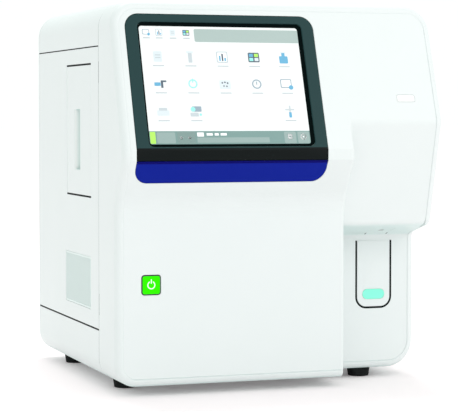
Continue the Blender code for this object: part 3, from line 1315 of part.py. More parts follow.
def sampling_valve():
    x = RIGHT - VALVE_OFFSET
    z = VALVE_HEIGHT
    rear = BULKHEAD_FRONT - FIT
    stator_y = (rear - VALVE_STAND - VALVE_STATOR_DEPTH, rear - VALVE_STAND)
    stand = block(centred(x, VALVE_STAND_SIZE), (stator_y[1] - FIT, rear), centred(z, VALVE_STAND_SIZE))
    disc = rod((x, z), VALVE_RADIUS, "Y", stator_y)
    pin_y = (stator_y[0] - VALVE_PIN_LENGTH, sum(stator_y) / 2)
    pin = rod((x, z), VALVE_PIN_RADIUS, "Y", pin_y, ROUND_SIDES // 2)
    solid("sampling_valve_stator", GREY_PLASTIC, [stand, disc, pin])
    rotor_y = (stator_y[0] - FIT - VALVE_ROTOR_DEPTH, stator_y[0] - FIT)
    carrier = pivot("sampling_valve_rotor_pivot", (x, sum(rotor_y) / 2, z))
    rotor = rod((x, z), VALVE_RADIUS, "Y", rotor_y)
    rim = z + VALVE_RADIUS
    tab = block(centred(x, VALVE_TAB), rotor_y, (rim - VALVE_TAB / 2, rim + VALVE_TAB))
    bore = rod((x, z), VALVE_PIN_RADIUS + FIT, "Y", grown(rotor_y, OVERRUN), ROUND_SIDES // 2)
    solid("sampling_valve_rotor", WHITE_PLASTIC, [rotor, tab], [bore], carrier)


def reaction_chambers():
    right = RIGHT - CHAMBER_OFFSET
    x = (right - CHAMBER_WIDTH, right)
    y = (BULKHEAD_FRONT - FIT - CHAMBER_DEPTH, BULKHEAD_FRONT - FIT)
    z = (CHAMBER_HEIGHT, CHAMBER_HEIGHT + CHAMBER_TALL)
    cups = [rod((sum(x) / 2 + side * CHAMBER_WIDTH / 4, sum(y) / 2), CHAMBER_CUP_RADIUS, "Z",
                (z[1] - CHAMBER_CUP_DEPTH, z[1] + OVERRUN)) for side in (-1, 1)]
    solid("reaction_chambers", GREY_PLASTIC, [block(x, y, z)], cups)


def optical_detector():
    left = bay_spans()[0][1] + DETECTOR_BAY_GAP
    base = BULKHEAD_TOP - DETECTOR_DROP
    x = (left, left + DETECTOR_WIDTH)
    y = (BULKHEAD_FRONT - FIT - DETECTOR_DEPTH, BULKHEAD_FRONT - FIT)
    z = (base, base + DETECTOR_TALL)
    middle = (sum(x) / 2, sum(z) / 2)
    tube = rod(middle, DETECTOR_TUBE_RADIUS, "Y", (y[0] - DETECTOR_TUBE_LENGTH, y[0] + FIT))
    bore = rod(middle, DETECTOR_BORE_RADIUS, "Y", (y[0] - DETECTOR_TUBE_LENGTH - OVERRUN, y[0]))
    solid("optical_detector", STEEL, [block(x, y, z), tube], [bore])


def syringe():
    x = RIGHT - SYRINGE_OFFSET
    rear = BULKHEAD_FRONT - FIT
    y = rear - SYRINGE_STAND - SYRINGE_RADIUS
    z = (SYRINGE_HEIGHT, SYRINGE_HEIGHT + SYRINGE_TALL)
    barrel = rod((x, y), SYRINGE_RADIUS, "Z", z)
    stand = block(centred(x, SYRINGE_RADIUS), (y + SYRINGE_BORE_RADIUS + FIT, rear), z)
    bore = rod((x, y), SYRINGE_BORE_RADIUS, "Z", (z[0] - OVERRUN, z[1] - SYRINGE_CAP))
    solid("syringe_barrel", GREY_PLASTIC, [barrel, stand], [bore])
    top = z[1] - SYRINGE_CAP - FIT
    foot_top = z[0] - PLUNGER_FOOT
    carrier = pivot("syringe_plunger_pivot", (x, y, z[0]))
    plunger = rod((x, y), SYRINGE_BORE_RADIUS - FIT, "Z", (foot_top - FIT, top))
    foot = rod((x, y), SYRINGE_RADIUS, "Z", (foot_top - PLUNGER_FOOT, foot_top))
    solid("syringe_plunger", STEEL, [plunger, foot], carrier=carrier)


def valve_manifold():
    right = RIGHT - MANIFOLD_OFFSET
    x = (right - MANIFOLD_WIDTH, right)
    y = (BULKHEAD_FRONT - FIT - MANIFOLD_DEPTH, BULKHEAD_FRONT - FIT)
    z = (MANIFOLD_HEIGHT, MANIFOLD_HEIGHT + MANIFOLD_TALL)
    places = evenly(sum(x) / 2, MANIFOLD_WIDTH / SOLENOID_COUNT, SOLENOID_COUNT)
    coils = [rod((place, sum(z) / 2), SOLENOID_RADIUS, "Y", (y[0] - SOLENOID_LENGTH, y[0] + FIT),
                 ROUND_SIDES // 2) for place in places]
    solid("valve_manifold", GREY_PLASTIC, [block(x, y, z), *coils])


def waste_chamber():
    place = (LEFT + WASTE_OFFSET, SHELL_FRONT + WASTE_SETBACK)
    floor = PAN_TOP + FIT
    top = floor + WASTE_HEIGHT
    jar = rod(place, WASTE_RADIUS, "Z", (floor, top))
    cap = rod(place, WASTE_CAP_RADIUS, "Z", (top - FIT, top + WASTE_CAP_HEIGHT))
    solid("waste_chamber", GREY_PLASTIC, [jar, cap])


def power_supply():
    x = (LEFT + SUPPLY_MARGIN, LEFT + SUPPLY_MARGIN + SUPPLY_WIDTH)
    front = BULKHEAD_REAR + STAND_GAP
    y = (front, front + SUPPLY_DEPTH)
    z = (PAN_TOP + FIT, PAN_TOP + FIT + SUPPLY_HEIGHT)
    places = evenly(sum(x) / 2, SUPPLY_SLOT_PITCH, SUPPLY_SLOT_COUNT)
    slots = [block(centred(place, SUPPLY_SLOT), (y[1] - SUPPLY_SLOT, y[1] + OVERRUN),
                   centred(sum(z) / 2, SUPPLY_SLOT_LENGTH)) for place in places]
    solid("power_supply", STEEL, [block(x, y, z)], slots)


def main_board():
    x = (LEFT + BOARD_MARGIN, LEFT + BOARD_MARGIN + BOARD_WIDTH)
    top = BULKHEAD_TOP - BOARD_DROP
    z = (top - BOARD_HEIGHT, top)
    front = BULKHEAD_REAR + FIT + BOARD_STANDOFF
    board = block(x, (front, front + BOARD_THICKNESS), z)
    inner_x = grown(x, -BOARD_EDGE)
    inner_z = grown(z, -BOARD_EDGE)
    post_y = (BULKHEAD_REAR + FIT, front + BOARD_THICKNESS / 2)
    posts = [rod((post_x, post_z), BOARD_STANDOFF_RADIUS, "Y", post_y, ROUND_SIDES // 2)
             for post_x in inner_x for post_z in inner_z]
    chip_y = (post_y[1], front + BOARD_THICKNESS + CHIP_HEIGHT)
    chips = [block(centred(chip_x, CHIP_SIZE), chip_y, centred(sum(z) / 2, CHIP_SIZE))
             for chip_x in evenly(sum(x) / 2, BOARD_WIDTH / 2, 2)]
    solid("main_board", BOARD_GREEN, [board, *posts, *chips])


def air_pump():
    x = RIGHT - PUMP_MARGIN
    floor = PAN_TOP + FIT
    z = floor + PUMP_FOOT + PUMP_HEAD / 2
    front = BULKHEAD_REAR + STAND_GAP
    head_y = (front, front + PUMP_HEAD_DEPTH)
    head = block(centred(x, PUMP_HEAD), head_y, centred(z, PUMP_HEAD))
    motor = rod((x, z), PUMP_RADIUS, "Y", (head_y[1] - FIT, head_y[1] + PUMP_LENGTH))
    foot = block(centred(x, PUMP_HEAD), (head_y[0], head_y[1] + PUMP_LENGTH / 2),
                 (floor, floor + PUMP_FOOT + PUMP_HEAD / 2 - PUMP_RADIUS + OVERRUN))
    solid("air_pump", DARK_PLASTIC, [head, motor, foot])


def build():
    clear_scene()
    front_cover_assembly()
    base_tub()
    feet()
    top_cover()
    side_panels()
    side_door()
    rear_panel()
    fan()
    mains_inlet()
    rocker_switch()
    port_bay()
    chassis_pan()
    bulkhead()
    reagent_bay()
    lift_frame()
    carriage()
    needle_washer()
    belt_drive()
    sampling_valve()
    reaction_chambers()
    optical_detector()
    syringe()
    valve_manifold()
    waste_chamber()
    power_supply()
    main_board()
    air_pump()


build()
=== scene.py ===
import json
import math
from bisect import bisect_left

import bmesh
import bpy
import numpy as np
from mathutils import Matrix, Vector, geometry


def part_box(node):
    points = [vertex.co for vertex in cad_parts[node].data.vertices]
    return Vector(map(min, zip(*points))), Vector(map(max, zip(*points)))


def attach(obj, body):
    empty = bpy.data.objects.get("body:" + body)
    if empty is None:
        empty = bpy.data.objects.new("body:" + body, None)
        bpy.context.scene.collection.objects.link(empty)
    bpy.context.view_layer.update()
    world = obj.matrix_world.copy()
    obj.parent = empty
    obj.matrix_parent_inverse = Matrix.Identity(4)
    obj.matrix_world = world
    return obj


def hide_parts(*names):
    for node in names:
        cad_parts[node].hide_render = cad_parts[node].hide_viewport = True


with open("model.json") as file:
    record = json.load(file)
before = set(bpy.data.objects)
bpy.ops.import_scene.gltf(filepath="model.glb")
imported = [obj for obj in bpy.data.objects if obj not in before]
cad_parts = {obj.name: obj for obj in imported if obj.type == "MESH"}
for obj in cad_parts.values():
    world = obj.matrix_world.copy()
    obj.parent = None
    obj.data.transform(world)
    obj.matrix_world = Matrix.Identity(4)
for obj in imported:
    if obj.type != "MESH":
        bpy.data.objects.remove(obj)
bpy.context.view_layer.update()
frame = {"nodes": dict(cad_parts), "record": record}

MM = 0.001

# Camera of the photograph
CAMERA_PLACE = (-858.6 * MM, -2450.1 * MM, 364.4 * MM)
CAMERA_TURN = math.radians(19.23)
CAMERA_DROP = math.radians(2.12)
CAMERA_LENS = 144.35
CAMERA_SENSOR = 36
CAMERA_SHIFT = -0.0533

# Facets of round shapes
ARC_STEP = math.radians(7.5)
SMOOTH_ANGLE = math.radians(32)
EDGE_STEPS = 3
ROUND_SIDES = 48
FINE_SIDES = 96
COARSE_SIDES = 24
SINK_SIDES = 32
TURNED_SIDES = 64

# Walls and gaps that the solids don't tell by their boxes
WALL = 4 * MM
FIT = 0.3 * MM
OVERRUN = 5 * MM
SAME_POINT = 0.01 * MM
NO_LENGTH = 1e-18
FLAT_TOLERANCE = 1e-9

# Casing, read from the frame
COVER_LOW, COVER_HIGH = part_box("front_cover")
LEFT, RIGHT = COVER_LOW.x, COVER_HIGH.x
FRONT, COVER_REAR = COVER_LOW.y, COVER_HIGH.y
UNDERSIDE, TOP = COVER_LOW.z, COVER_HIGH.z
TOP_CORNER = 34 * MM
BOTTOM_CORNERS = (28 * MM, 38 * MM)
RIM = 9 * MM
RIM_STEPS = 8
GROOVE_WIDTH = 1.6 * MM
GROOVE_DEPTH = 0.95 * MM
GROOVE_FADE = 0.65
COVER_EDGE = 0.6 * MM
COVER_HINGE_EDGE = 2 * MM
HINGE_EDGE_POWER = 3

# Front: tilted face, band, chin and lower panel on the left, head and recess on the right
FACE_TILT = math.radians(19.06)
KINK_DROP = 192 * MM
KINK_HEIGHT = TOP - KINK_DROP
KINK_RADIUS = 1.5 * MM
BAND_HEIGHT = 14 * MM
CHIN_SETBACK = 35.5 * MM
CHIN_DROP = 72 * MM
CHIN_BLEND = 60 * MM
LOWER_PANEL = FRONT + CHIN_SETBACK
CHIN_HEIGHT = KINK_HEIGHT - CHIN_DROP
HEAD_WIDTH = 134 * MM
HEAD_LEFT = RIGHT - HEAD_WIDTH
HEAD_KINK_RISE = 35.8 * MM
HEAD_KINK_HEIGHT = KINK_HEIGHT + HEAD_KINK_RISE
HEAD_KINK_RADIUS = 20 * MM
HEAD_LIP_SETBACK = 48.5 * MM
HEAD_LIP_HEIGHT = 213.5 * MM
HEAD_LIP = (FRONT + HEAD_LIP_SETBACK, HEAD_LIP_HEIGHT)
HEAD_LIP_RADIUS = 12 * MM
HEAD_ROOT_HEIGHT = 198 * MM
HEAD_COVE = 8 * MM
RECESS_DEPTH = 105.5 * MM
RECESS_PANEL = FRONT + RECESS_DEPTH
STEP_EDGE = 4 * MM
STEP_COVE = 3 * MM
STEP_DRAFT = 0.4 * MM
ROW_PITCH = 14 * MM
COLUMN_PITCH = 24 * MM
FINE_PITCH = 2.3 * MM
LOOP_CLEARANCE = 0.4 * MM
LEVEL_CLEARANCE = 1.5 * MM
CORNER_STEPS = 12
LEAST_STEP = 0.12 * MM
STRAIGHT = 4 * MM
FACE = Matrix((
    (1, 0, 0, 0),
    (0, math.sin(FACE_TILT), -math.cos(FACE_TILT), FRONT),
    (0, math.cos(FACE_TILT), math.sin(FACE_TILT), KINK_HEIGHT),
    (0, 0, 0, 1),
))
FLAT_BESIDE = 0.5 * MM
SHELL_EDGE = 0.5 * MM
SLIT_RADIUS = 0.6 * MM
NOTCH_EDGE = 0.2 * MM
BLOCK_EDGE = 0.4 * MM
NODE_EDGE = 0.4 * MM

# Display
BEZEL_TOP_MARGIN = 16.5 * MM
BEZEL_RADIUS = 19 * MM
TRIM_RADIUS = 18 * MM
WINDOW_RADIUS = 7.5 * MM
WINDOW_LOW = 4.7 * MM
WINDOW_TOP_MARGIN = 11 * MM
BEZEL_RISE = (TOP - BEZEL_TOP_MARGIN - KINK_HEIGHT) / math.cos(FACE_TILT)
WINDOW_RISE = (WINDOW_LOW, BEZEL_RISE - WINDOW_TOP_MARGIN)
SCREEN_DEPTH = 1.6 * MM
SCREEN_THICKNESS = 2 * MM
BEZEL_EDGE = 1.2 * MM
TRIM_EDGE = 0.8 * MM
# Height over the kink where the bezel's painted light starts
BAND_SHADE_RISE = 2.6 * MM
# Depth of the painted shadow along the trim's top
TRIM_SHADE_DROP = 3.6 * MM
WINDOW_EDGE = 1 * MM
MASK_THICKNESS = 0.3 * MM
PICTURE_RADIUS = 3 * MM
PICTURE_TOP_RADIUS = 4 * MM
# The mask is partly the screen's own black border and partly painted shade of the window's inner walls, so
# its right and top margins are wider
MASK_LEFT = 1.5 * MM
MASK_RIGHT = 5.6 * MM
MASK_LOW = 3.6 * MM
MASK_HIGH = 5.4 * MM

# Status light window
STATUS_RISE = (65.6 * MM, 75.8 * MM)
STATUS_RADIUS = 2.5 * MM
STATUS_EDGE = 0.3 * MM

# Power button
BUTTON_GAP = 0.4 * MM
BUTTON_RADIUS = 4 * MM
BUTTON_DEPTH = 8 * MM
BUTTON_STEM = 4 * MM
COLLAR_STEP = 0.4 * MM
COLLAR_EDGE = 0.3 * MM
COLLAR_WIDTH = 1.1 * MM
LENS_EDGE = 0.35 * MM
SYMBOL_RADIUS = 5.4 * MM
SYMBOL_STROKE = 1.4 * MM
SYMBOL_GAP = 4.2 * MM
SYMBOL_BAR = 5.4 * MM
SYMBOL_DEPTH = 0.3 * MM
SYMBOL_PROUD = 0.1 * MM

# Start paddle
PADDLE_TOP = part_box("start_paddle")[1].z
PADDLE_RADIUS = 13.5 * MM
PADDLE_SLIT = 2.8 * MM
PADDLE_TOP_GAP = 0.1 * MM
PADDLE_EDGE = 0.25 * MM
MARK_RADIUS = 6.8 * MM
MARK_INSET = 0.6 * MM
MARK_EDGE = 0.15 * MM
LUG_WIDTH = 6 * MM
LUG_HEIGHT = 9 * MM
LUG_DEPTH = 9 * MM
LUG_SPREAD = 20 * MM
LUG_BORE = 1.8 * MM
# Dark seal in the paddle's slit, which also paints the shade in the slit
SEAL_GAP = 0.1 * MM
PADDLE_CLEARANCE = 0.45 * MM
SEAL_DEPTH = 0.3 * MM

# Pipette opening, its guard plate and the two dark bars behind it
PIPETTE_OPENING = 32 * MM
PIPETTE_RADIUS = 4 * MM
PIPETTE_COLLAR = 1.6 * MM
GUARD_THICKNESS = 1.2 * MM
GUARD_BORE = 4 * MM
GUARD_INSET = 0.2 * MM
DARK_BAR_MIDDLES = (149.2 * MM, 181 * MM)
DARK_BAR_REACH = (-133.4 * MM, -128.2 * MM)
DARK_BAR_STEP = 1 * MM
DARK_BAR_WIDTH = 1.5 * MM
DARK_BAR_PROUD = 0.06 * MM
DARK_BAR_DEPTH = 0.6 * MM
WASHER_CLEARANCE = 1 * MM
PIPETTE_COLLAR_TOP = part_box("needle_washer")[0].z - WASHER_CLEARANCE

# Hinges, and the grey seal between the cover and the casing, whose colour paints the shade line of the gap
SWING_GAP = 0.15 * MM
HINGE_END_GAP = 0.5 * MM
JOINT_SPAN = (0.1 * MM, 3.5 * MM)
JOINT_GAP = 0.15 * MM
JOINT_SETBACK = 0.4 * MM
PIN_RADIUS = 1 * MM
PIN_INSET = WALL / 2
LEAF_THICKNESS = 2 * MM
KNUCKLE_EDGE = 0.3 * MM
HEEL_INSET = 0.3 * MM

# Side panels, door and vents
LIP_LENGTH = 8 * MM
LIP_THICKNESS = 2.5 * MM
# Black gasket strips in the seams and the door's gaps paint the shade in those gaps
GASKET_DEPTH = 0.25 * MM
DOOR_STRIP = 2.3 * MM
GASKET_GAP = 0.1 * MM
DOOR_GAP = 2.4 * MM
LOWER_SEAM_EXTRA = 0.7 * MM
DOOR_EDGE_GAP = 0.4 * MM
HANDLE_FRONT = 57.1 * MM
HANDLE_WIDTH = 28.9 * MM
HANDLE_BASE = 33.7 * MM
HANDLE_HEIGHT = 82.9 * MM
HANDLE_DEPTH = 14 * MM
HANDLE_FLOOR = 5 * MM
HANDLE_WALL = 2 * MM
HANDLE_EDGE = 0.8 * MM
HANDLE_END_EDGE = 1.5 * MM
HANDLE_FLOOR_RADIUS = 1.5 * MM
VENT_FRAME = 5 * MM
VENT_BORDER = 2.5 * MM
VENT_EDGE = 0.4 * MM
FIN_PITCH = 2.8 * MM
FIN_WIDTH = 1.4 * MM
FIN_SETBACK = 0.4 * MM
FIN_EDGE = 0.3 * MM
FILTER_THICKNESS = 0.4 * MM
LOUVRE_SLOT = 2.6 * MM
LOUVRE_PITCH = 6 * MM

# Feet
FOOT_BOTTOM_RADIUS = 14.5 * MM
FOOT_SPREAD = 2.5 * MM
FOOT_STUD_RADIUS = 3 * MM
FOOT_EDGE = 1.2 * MM

# Screws, those of the inner modules by node, body, side that they are on, and inset from its corners
SCREW_PLACES = (
    ("reagent_bay", "casing", -1, 9 * MM),
    ("optical_detector", "casing", -1, 6 * MM),
    ("reaction_chambers", "casing", -1, 7 * MM),
    ("display_module", "front_cover", 1, 9 * MM),
    ("bulkhead", "casing", -1, 9 * MM),
)
SCREW_RADIUS = 3 * MM
SCREW_HEIGHT = 1.8 * MM
SCREW_SINK = 0.4 * MM
SINK_RADIUS = 4 * MM
SCREW_EDGE = 0.8 * MM
CROSS_WIDTH = 0.9 * MM
CROSS_LENGTH = 3.6 * MM
CROSS_DEPTH = 1 * MM

# Rear panel and what stands in it
REAR_SCREW_INSET = 20 * MM
REAR_RIM = 6 * MM
REAR_WALL = 3 * MM
FAN_BORE = 37.5 * MM
FAN_CORNER = 4 * MM
FAN_SCREW_SPACING = 71.5 * MM
FAN_SCREW_RADIUS = 2.2 * MM
SPIDER_DEPTH = 3 * MM
SPIDER_BAR = 5 * MM
HUB_RADIUS = 17 * MM
HUB_EDGE = 1.5 * MM
SHAFT_RADIUS = 2.5 * MM
TIP_GAP = 1.5 * MM
FAN_BLADES = 7
BLADE_ROWS = 6
BLADE_COLUMNS = 8
BLADE_TILT = math.radians(38)
BLADE_TWIST = math.radians(-8)
BLADE_CHORD = 17 * MM
BLADE_FLARE_SHARE = 0.12
BLADE_CAMBER = 1.6 * MM
BLADE_THICKNESS = 1.3 * MM
BLADE_TAPER = 3
GUARD_SLOT = 5 * MM
GUARD_PITCH = 8 * MM
GUARD_SLOTS = 9
INLET_RISE = 8 * MM
SOCKET_WIDTH = 28 * MM
SOCKET_TALL = 20 * MM
SOCKET_DEPTH = 16 * MM
SOCKET_CORNER = 5 * MM
SOCKET_LOW_RADIUS = 1.5 * MM
PIN_WIDTH = 2 * MM
PIN_TALL = 4 * MM
PIN_LENGTH = 13 * MM
PIN_SPREAD = 7 * MM
ROCKER_WIDTH = 26 * MM
ROCKER_TALL = 18 * MM
ROCKER_DEPTH = 12 * MM
ROCKER_GAP = 0.6 * MM
BAY_WALL = 2 * MM
BAY_RADIUS = 2 * MM
PORT_COUNT = 4
PORT_RADIUS = 4 * MM
PORT_BORE = 2.2 * MM
PORT_NECK = 3.2 * MM
PORT_LENGTH = 16 * MM
PORT_FLANGE = 2 * MM
PORT_RIDGES = 3

# Picture on the screen, placed by shares of its width and height
ICON_SIZE = 18 * MM
SMALL_ICON_SIZE = 10.5 * MM
LABEL_DROP = 12.5 * MM
LABEL_WIDTH = 15 * MM
LABEL_HEIGHT = 1.3 * MM
INK_THICKNESS = 0.12 * MM
INK_LAYER_SHARE = 0.4
BAR_CORNER_SHARE = 0.12
COLUMN_SHARES = (0.10, 0.30, 0.50, 0.70, 0.89)
ROW_SHARES = (0.739, 0.509, 0.275)
SMALL_SHARES = (0.043, 0.122, 0.207, 0.290)
SMALL_ROW_SHARE = 0.945
SMALL_LABEL_DROP = 7.6 * MM
SMALL_LABEL_WIDTH = 9 * MM
BAR_ICON_SHARES = (0.195, 0.245, 0.872, 0.957)
BAR_ROW_SHARE = 0.053
ICON_ROWS = (
    ("page", "tube", "chart", "tiles", "flask"),
    ("arrow", "dial", "wells", "clock", "sheet"),
    ("tray", "people", "", "", "tool"),
)
SMALL_ICONS = ("sheet", "chart", "page", "tiles")
BAR_ICONS = ("white_dot", "white_dot", "white_page", "white_ring")
ICON_SHARES = {
    "page": (("pale", "bar", 0, 0, 0.62, 0.8), ("faint", "bar", 0, 0.12, 0.4, 0.08),
             ("faint", "bar", 0, -0.08, 0.4, 0.08)),
    "tube": (("pale", "bar", 0, 0.36, 0.5, 0.14), ("faint", "bar", 0, -0.08, 0.28, 0.72)),
    "chart": (("faint", "bar", 0, 0, 0.86, 0.86), ("screen_white", "bar", 0, 0, 0.7, 0.7),
              ("blue", "bar", -0.18, -0.1, 0.12, 0.4), ("dark", "bar", 0.02, -0.02, 0.12, 0.56),
              ("blue", "bar", 0.22, -0.18, 0.12, 0.24)),
    "tiles": (("dark", "bar", 0, 0, 0.86, 0.74), ("blue", "bar", -0.2, 0.16, 0.3, 0.24),
              ("lime", "bar", 0.2, 0.16, 0.3, 0.24), ("teal", "bar", -0.2, -0.16, 0.3, 0.24),
              ("pale", "bar", 0.2, -0.16, 0.3, 0.24)),
    "flask": (("blue", "bar", 0, -0.16, 0.66, 0.56), ("blue", "bar", 0, 0.2, 0.24, 0.5),
              ("pale", "bar", 0, 0.42, 0.4, 0.1)),
    "arrow": (("blue", "bar", -0.22, -0.04, 0.46, 0.26), ("dark", "bar", 0.12, -0.04, 0.16, 0.56),
              ("dark", "bar", 0.3, 0.18, 0.3, 0.12)),
    "dial": (("teal", "ring", 0, 0, 0.34, 0.09), ("teal", "bar", 0, 0.24, 0.08, 0.3)),
    "wells": (("pale", "bar", 0, -0.05, 0.84, 0.66), ("dark", "disc", -0.2, 0.08, 0.06),
              ("dark", "disc", 0, 0.12, 0.06), ("dark", "disc", 0.2, 0.06, 0.06),
              ("dark", "disc", -0.1, -0.16, 0.05), ("dark", "disc", 0.12, -0.18, 0.05)),
    "clock": (("steel", "ring", 0, 0, 0.36, 0.09), ("steel", "bar", 0, 0.08, 0.07, 0.22)),
    "sheet": (("steel", "bar", -0.04, 0.06, 0.86, 0.66), ("screen_white", "bar", -0.04, 0.06, 0.72, 0.52),
              ("blue", "disc", 0.32, -0.24, 0.17)),
    "tray": (("pale", "bar", 0, -0.12, 0.9, 0.4), ("faint", "bar", 0, 0.16, 0.6, 0.2)),
    "people": (("steel", "bar", 0.08, 0.18, 0.7, 0.4), ("teal", "disc", -0.2, 0.16, 0.18),
               ("faint", "bar", -0.12, -0.24, 0.6, 0.28), ("teal", "disc", 0.34, -0.24, 0.09)),
    "tool": (("faint", "bar", 0.02, 0.02, 0.12, 0.86), ("blue", "bar", 0.02, -0.26, 0.2, 0.4),
             ("faint", "bar", 0, 0.14, 0.7, 0.1)),
    "white_dot": (("screen_white", "disc", 0, 0, 0.2),),
    "white_page": (("screen_white", "bar", 0, 0.1, 0.6, 0.7), ("bar_green", "bar", 0, 0.1, 0.3, 0.1)),
    "white_ring": (("screen_white", "ring", 0, 0.1, 0.4, 0.16), ("screen_white", "disc", 0, 0.1, 0.1)),
}
PANEL_SHARES = (
    ("bar_green", -0.02, -0.02, 1.02, 0.110, 0),
    ("lime", 0.004, 0.006, 0.037, 0.104, 1),
    ("bar_pale", 0.045, 0.008, 0.158, 0.100, 1),
    ("bar_pale", 0.29, 0.012, 0.74, 0.056, 1),
    ("bar_dark", 0.17, 0.006, 0.28, 0.104, 1),
    ("bar_pale", 0.835, 0.004, 0.91, 0.103, 1),
    ("bar_pale", 0.92, 0.004, 0.995, 0.103, 1),
    ("bar_mist", 0.34, 0.868, 1.02, 0.979, 0),
    ("screen_white", 0.292, 0.064, 0.333, 0.098, 2),
    ("screen_white", 0.350, 0.072, 0.388, 0.092, 2),
    ("screen_white", 0.400, 0.072, 0.425, 0.092, 2),
    ("screen_white", 0.437, 0.072, 0.475, 0.092, 2),
)

# Studio
WORLD_STRENGTH = 1.035
WORLD_COLOUR = (0.968, 1.0, 0.985, 1)
FLOOR_REACH = 40
FLOOR_SEGMENTS = 24
FLOOR_GLOW = (1.0, 0.86, 0.89)
FLOOR_GLOW_STRENGTH = 0.085
LIGHT_TARGET = (0, 0, 0.25)
LIGHTS = (
    ("key", (1.4, -2.4, 1.6), (1.8, 1.8), 20.5, (1, 0.89, 0.92)),
    ("top", (0.1, 0.9, 2.6), (1.2, 1.2), 20, (1, 0.97, 0.98)),
)

# Grain, colour drift, gloss and painted shade of the finishes
GRAIN_SIZE = 0.45 * MM
GRAIN_RELIEF = 0.02 * MM
GRAIN_STRENGTH = 0.35
GRAIN_DETAIL = 2
FLOOR_GRAIN_SIZE = 4 * MM
FLOOR_GRAIN_RELIEF = 0.01 * MM
DRIFT_SIZE = 60 * MM
DRIFT_DETAIL = 3
COLOUR_DRIFT_SHARE = 0.6
COLOUR_GRAIN_SHARE = 0.15
GLOSS_SPAN = 0.06
GLOSS_SHIFT = 0.05
BAND_DRIFT_SHARE = 0.08
# Rise of the normal over which the casing's downward faces get their painted shade
DOWNWARD_SHADE_SPAN = (-0.55, -0.95)
# Share of the handle's width where its painted shade starts
RECESS_SHADE_START_SHARE = 0.62


def turn_of(first, second):
    """Cross product of two plane vectors."""
    return first.x * second.y - first.y * second.x


def corner_arc(before, corner, after, radius):
    """Points of the arc that rounds one corner, or the corner itself at radius 0."""
    corner = Vector(corner)
    if radius <= 0:
        return [corner]
    back = (Vector(before) - corner).normalized()
    ahead = (Vector(after) - corner).normalized()
    opening = back.angle(ahead)
    tangent = radius / math.tan(opening / 2)
    centre = corner + (back + ahead).normalized() * radius / math.sin(opening / 2)
    spoke = corner + back * tangent - centre
    turn = math.copysign(math.pi - opening, turn_of(-back, ahead))
    steps = max(2, math.ceil(abs(turn) / ARC_STEP))
    arc = []
    for index in range(steps + 1):
        angle = turn * index / steps
        across = Vector((-spoke.y, spoke.x))
        arc.append(centre + spoke * math.cos(angle) + across * math.sin(angle))
    return arc


def rounded_path(corners, radii):
    """Closed outline through corners, each rounded by its own radius."""
    outline = []
    for index, radius in enumerate(radii):
        after = corners[(index + 1) % len(corners)]
        outline += corner_arc(corners[index - 1], corners[index], after, radius)
    return outline


def rounded(u, v, radii=(0, 0, 0, 0)):
    """Closed outline over the spans u and v, from bottom left, with a radius at each corner."""
    outline = rounded_path([(u[0], v[0]), (u[1], v[0]), (u[1], v[1]), (u[0], v[1])], radii)
    pairs = zip([outline[-1], *outline], outline)
    return [point for before, point in pairs if (point - before).length > SAME_POINT]


def circle(centre, radius, sides=ROUND_SIDES):
    turns = [2 * math.pi * side / sides for side in range(sides)]
    return [Vector((centre[0] + radius * math.cos(turn), centre[1] + radius * math.sin(turn)))
            for turn in turns]


def moved_in(outline, distance):
    """Closed counter-clockwise outline moved inward, or outward by a negative distance."""
    moved = []
    for before, point, after in zip([outline[-1], *outline], outline, [*outline[1:], outline[0]]):
        back = (point - before).normalized()
        ahead = (after - point).normalized()
        inward = Vector((-back.y, back.x)) + Vector((-ahead.y, ahead.x))
        moved.append(point + inward * (2 * distance / inward.length_squared))
    return moved


def crossing(outline, levels):
    """The outline with points where its sides cross levels of the second coordinate, clear of the ends."""
    dense = []
    for point, after in zip(outline, [*outline[1:], outline[0]]):
        dense.append(point)
        low, high = sorted((point.y, after.y))
        between = [level for level in levels if low + LEVEL_CLEARANCE < level < high - LEVEL_CLEARANCE]
        for level in sorted(between, reverse=after.y < point.y):
            dense.append(point.lerp(after, (level - point.y) / (after.y - point.y)))
    return dense


def centred(middle, width):
    return (middle - width / 2, middle + width / 2)


def grown(span, amount):
    return (span[0] - amount, span[1] + amount)


def evenly(middle, pitch, count):
    """Places of count copies, a pitch apart, about the middle."""
    return [middle + pitch * (index - (count - 1) / 2) for index in range(count)]


def steps_between(low, high, pitch):
    """Places from low to high, no more than a pitch apart."""
    count = max(1, math.ceil((high - low) / pitch))
    return [low + (high - low) * index / count for index in range(count + 1)]


def trace(points, radii, inset):
    """Side view path moved in by inset, with as many points at every inset."""
    lines = []
    for start, end in zip(points, points[1:]):
        along = (Vector(end) - Vector(start)).normalized()
        aside = Vector((-along.y, along.x)) * inset
        lines.append((Vector(start) + aside, Vector(end) + aside, along))
    moved = [lines[0][0]]
    for (start, _, along), (ahead, _, next_along) in zip(lines, lines[1:]):
        reach = turn_of(ahead - start, next_along) / turn_of(along, next_along)
        moved.append(start + along * reach)
    moved.append(lines[-1][1])
    path = [moved[0]]
    for before, corner, after, radius in zip(moved, moved[1:], moved[2:], radii):
        outward = turn_of(corner - before, after - corner) > 0
        fitted = radius - inset if outward else radius + inset
        unit_arc = corner_arc(before, corner, after, radius)
        path += corner_arc(before, corner, after, fitted) if fitted > 0 else [corner] * len(unit_arc)
    path.append(moved[-1])
    return path


def face_line(height):
    """Y of the tilted face at a height."""
    return FRONT + (height - KINK_HEIGHT) * math.tan(FACE_TILT)


def left_path(inset):
    """Front left of the head from top to bottom, in Y and Z."""
    top = TOP + OVERRUN
    points = [
        (face_line(top), top),
        (FRONT, KINK_HEIGHT),
        (FRONT, KINK_HEIGHT - BAND_HEIGHT),
        (LOWER_PANEL, CHIN_HEIGHT),
        (LOWER_PANEL, UNDERSIDE - OVERRUN),
    ]
    return trace(points, (KINK_RADIUS, KINK_RADIUS, CHIN_BLEND), inset)


